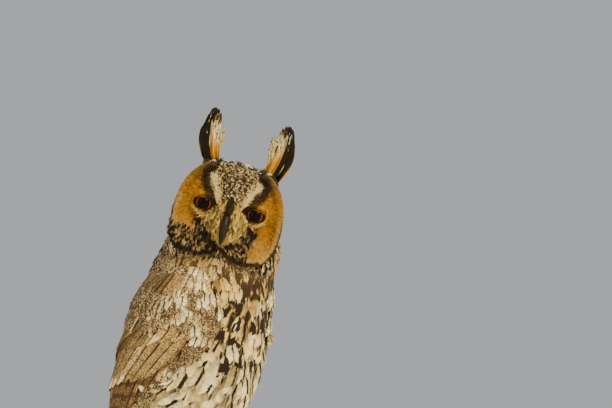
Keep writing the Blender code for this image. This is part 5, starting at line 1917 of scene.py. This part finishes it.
base = turned_piece("base", BASE_PROFILE, (0, 0), BASE_SIDES)
base.data.materials.append(stand_finish())
STEEL = steel_finish()
rods = {}
for side in ("right", "left"):
    low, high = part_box("stand_rod_" + side)
    centre = (low + high) / 2
    reach = (high[0] - low[0]) / 2
    profile = [(reach * share, low[2] + rise) for share, rise in ROD_FOOT]
    profile += [(reach * share, high[2] - drop) for share, drop in ROD_TOP]
    rods[side] = turned_piece("rod_" + side, profile, (centre[0], centre[1]), ROD_SIDES)
    rods[side].data.materials.append(STEEL)
print("base", len(base.data.polygons), "faces")

# %% [markdown]
# Last comes the room. Each piece rides on the one body of this still model. Its row also names a
# finish of the record, which nothing here reads, and the solids it stands for, which are hidden. The
# owl is then lit from high up on the camera's right, as by a big window, with the camera about level
# with its eyes.

# %% Put the pieces in the frame
COAT_SLOTS = {"leg_coat": "leg_feathers", "face_coat": "face_plumage"}
PIECES = [(made, COAT_SLOTS.get(name, "breast_plumage"), ()) for name, made in coat.items()]
PIECES += [
    (skin, "breast_plumage", SKIN_NODES),
    (bristles, "face_plumage", ()),
    (tail_quills, "tail_feathers", ("tail",)),
    (bill_piece, "bill_horn", ("bill_upper", "bill_lower")),
    (claws, "claw_horn", tuple(claw_nodes)),
    (perch, "bark", ("perch_branch",)),
    (base, "stand_wood", ("stand_base",)),
]
for side in ("right", "left"):
    PIECES += [
        (wing_quills["wing_" + side], "wing_feathers", ("wing_" + side,)),
        (wing_skins["wing_" + side], "wing_feathers", ()),
        (wing_coverts["wing_" + side], "wing_feathers", ()),
        (tufts["ear_tuft_" + side], "tuft_feathers", ("ear_tuft_" + side,)),
        (eye_balls["eye_" + side], "eye", ("eye_" + side,)),
        (eye_lids[side], "face_plumage", ()),
        (rods[side], "rod_steel", ("stand_rod_" + side,)),
    ]
for piece, finish_name, replaced in PIECES:
    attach(piece, "root")
    if replaced:
        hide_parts(*replaced)
bpy.data.collections.remove(helpers)

# %% Floor, light and camera
FLOOR_SIZE = 6.0


def flat_square(name, size, height):
    half = size / 2
    corners = [(-half, -half, height), (half, -half, height), (half, half, height), (-half, half, height)]
    return add_object(name, mesh_from(name, corners, [(0, 1, 2, 3)]))


floor = flat_square("floor", FLOOR_SIZE, 0.0)
paper = Finish("paper", 0.9)
paper.colour((0.82, 0.81, 0.79))
floor.data.materials.append(paper.material)

VIEW_TURN, VIEW_RISE, VIEW_AWAY = math.radians(-48), math.radians(-2), 3.0
PIXELS_ACROSS, PIXELS_PER_METRE = 612, 1165
AIM_RIGHT, AIM_DOWN = 76.5 / PIXELS_PER_METRE, -5.3 / PIXELS_PER_METRE
SENSOR = 36
WARM_LIGHT, SOFT_LIGHT = (1.0, 0.91, 0.74), (1.0, 0.96, 0.90)
ROOM_COLOUR, ROOM_STRENGTH = (0.80, 0.82, 0.85, 1), 0.55
view_back = Vector((
    math.sin(VIEW_TURN) * math.cos(VIEW_RISE),
    -math.cos(VIEW_TURN) * math.cos(VIEW_RISE),
    math.sin(VIEW_RISE),
))
view_right = Vector((math.cos(VIEW_TURN), math.sin(VIEW_TURN), 0))
view_up = view_back.cross(view_right)
aim = eyes_middle + view_right * AIM_RIGHT - view_up * AIM_DOWN
camera_data = bpy.data.cameras.new("camera")
camera_data.lens = SENSOR / (PIXELS_ACROSS / PIXELS_PER_METRE) * VIEW_AWAY
camera = add_object("camera", camera_data)
camera.location = aim + view_back * VIEW_AWAY
camera.rotation_mode = "QUATERNION"
camera.rotation_quaternion = (-view_back).to_track_quat("-Z", "Y")
bpy.context.scene.camera = camera


def area_light(name, size, power, colour, from_right, from_above, towards):
    """A soft light, placed by how far right, up and in front of the owl it hangs as the camera sees it."""
    data = bpy.data.lights.new(name, "AREA")
    data.shape = "DISK"
    data.size = size
    data.energy = power
    data.color = colour
    made = add_object(name, data)
    place = aim + view_right * from_right + Vector((0, 0, from_above)) + view_back * towards
    made.location = place
    made.rotation_mode = "QUATERNION"
    made.rotation_quaternion = (aim - place).to_track_quat("-Z", "Y")
    return made


area_light("window", 0.6, 55, WARM_LIGHT, 0.9, 1.1, 1.2)
area_light("fill", 1.6, 12, SOFT_LIGHT, -1.3, 0.5, 1.2)
area_light("from_behind", 0.9, 10, SOFT_LIGHT, 0.3, 1.2, -1.2)
world = bpy.data.worlds.new("studio")
world.use_nodes = True
background = world.node_tree.nodes["Background"].inputs
background["Color"].default_value = ROOM_COLOUR
background["Strength"].default_value = ROOM_STRENGTH
bpy.context.scene.world = world
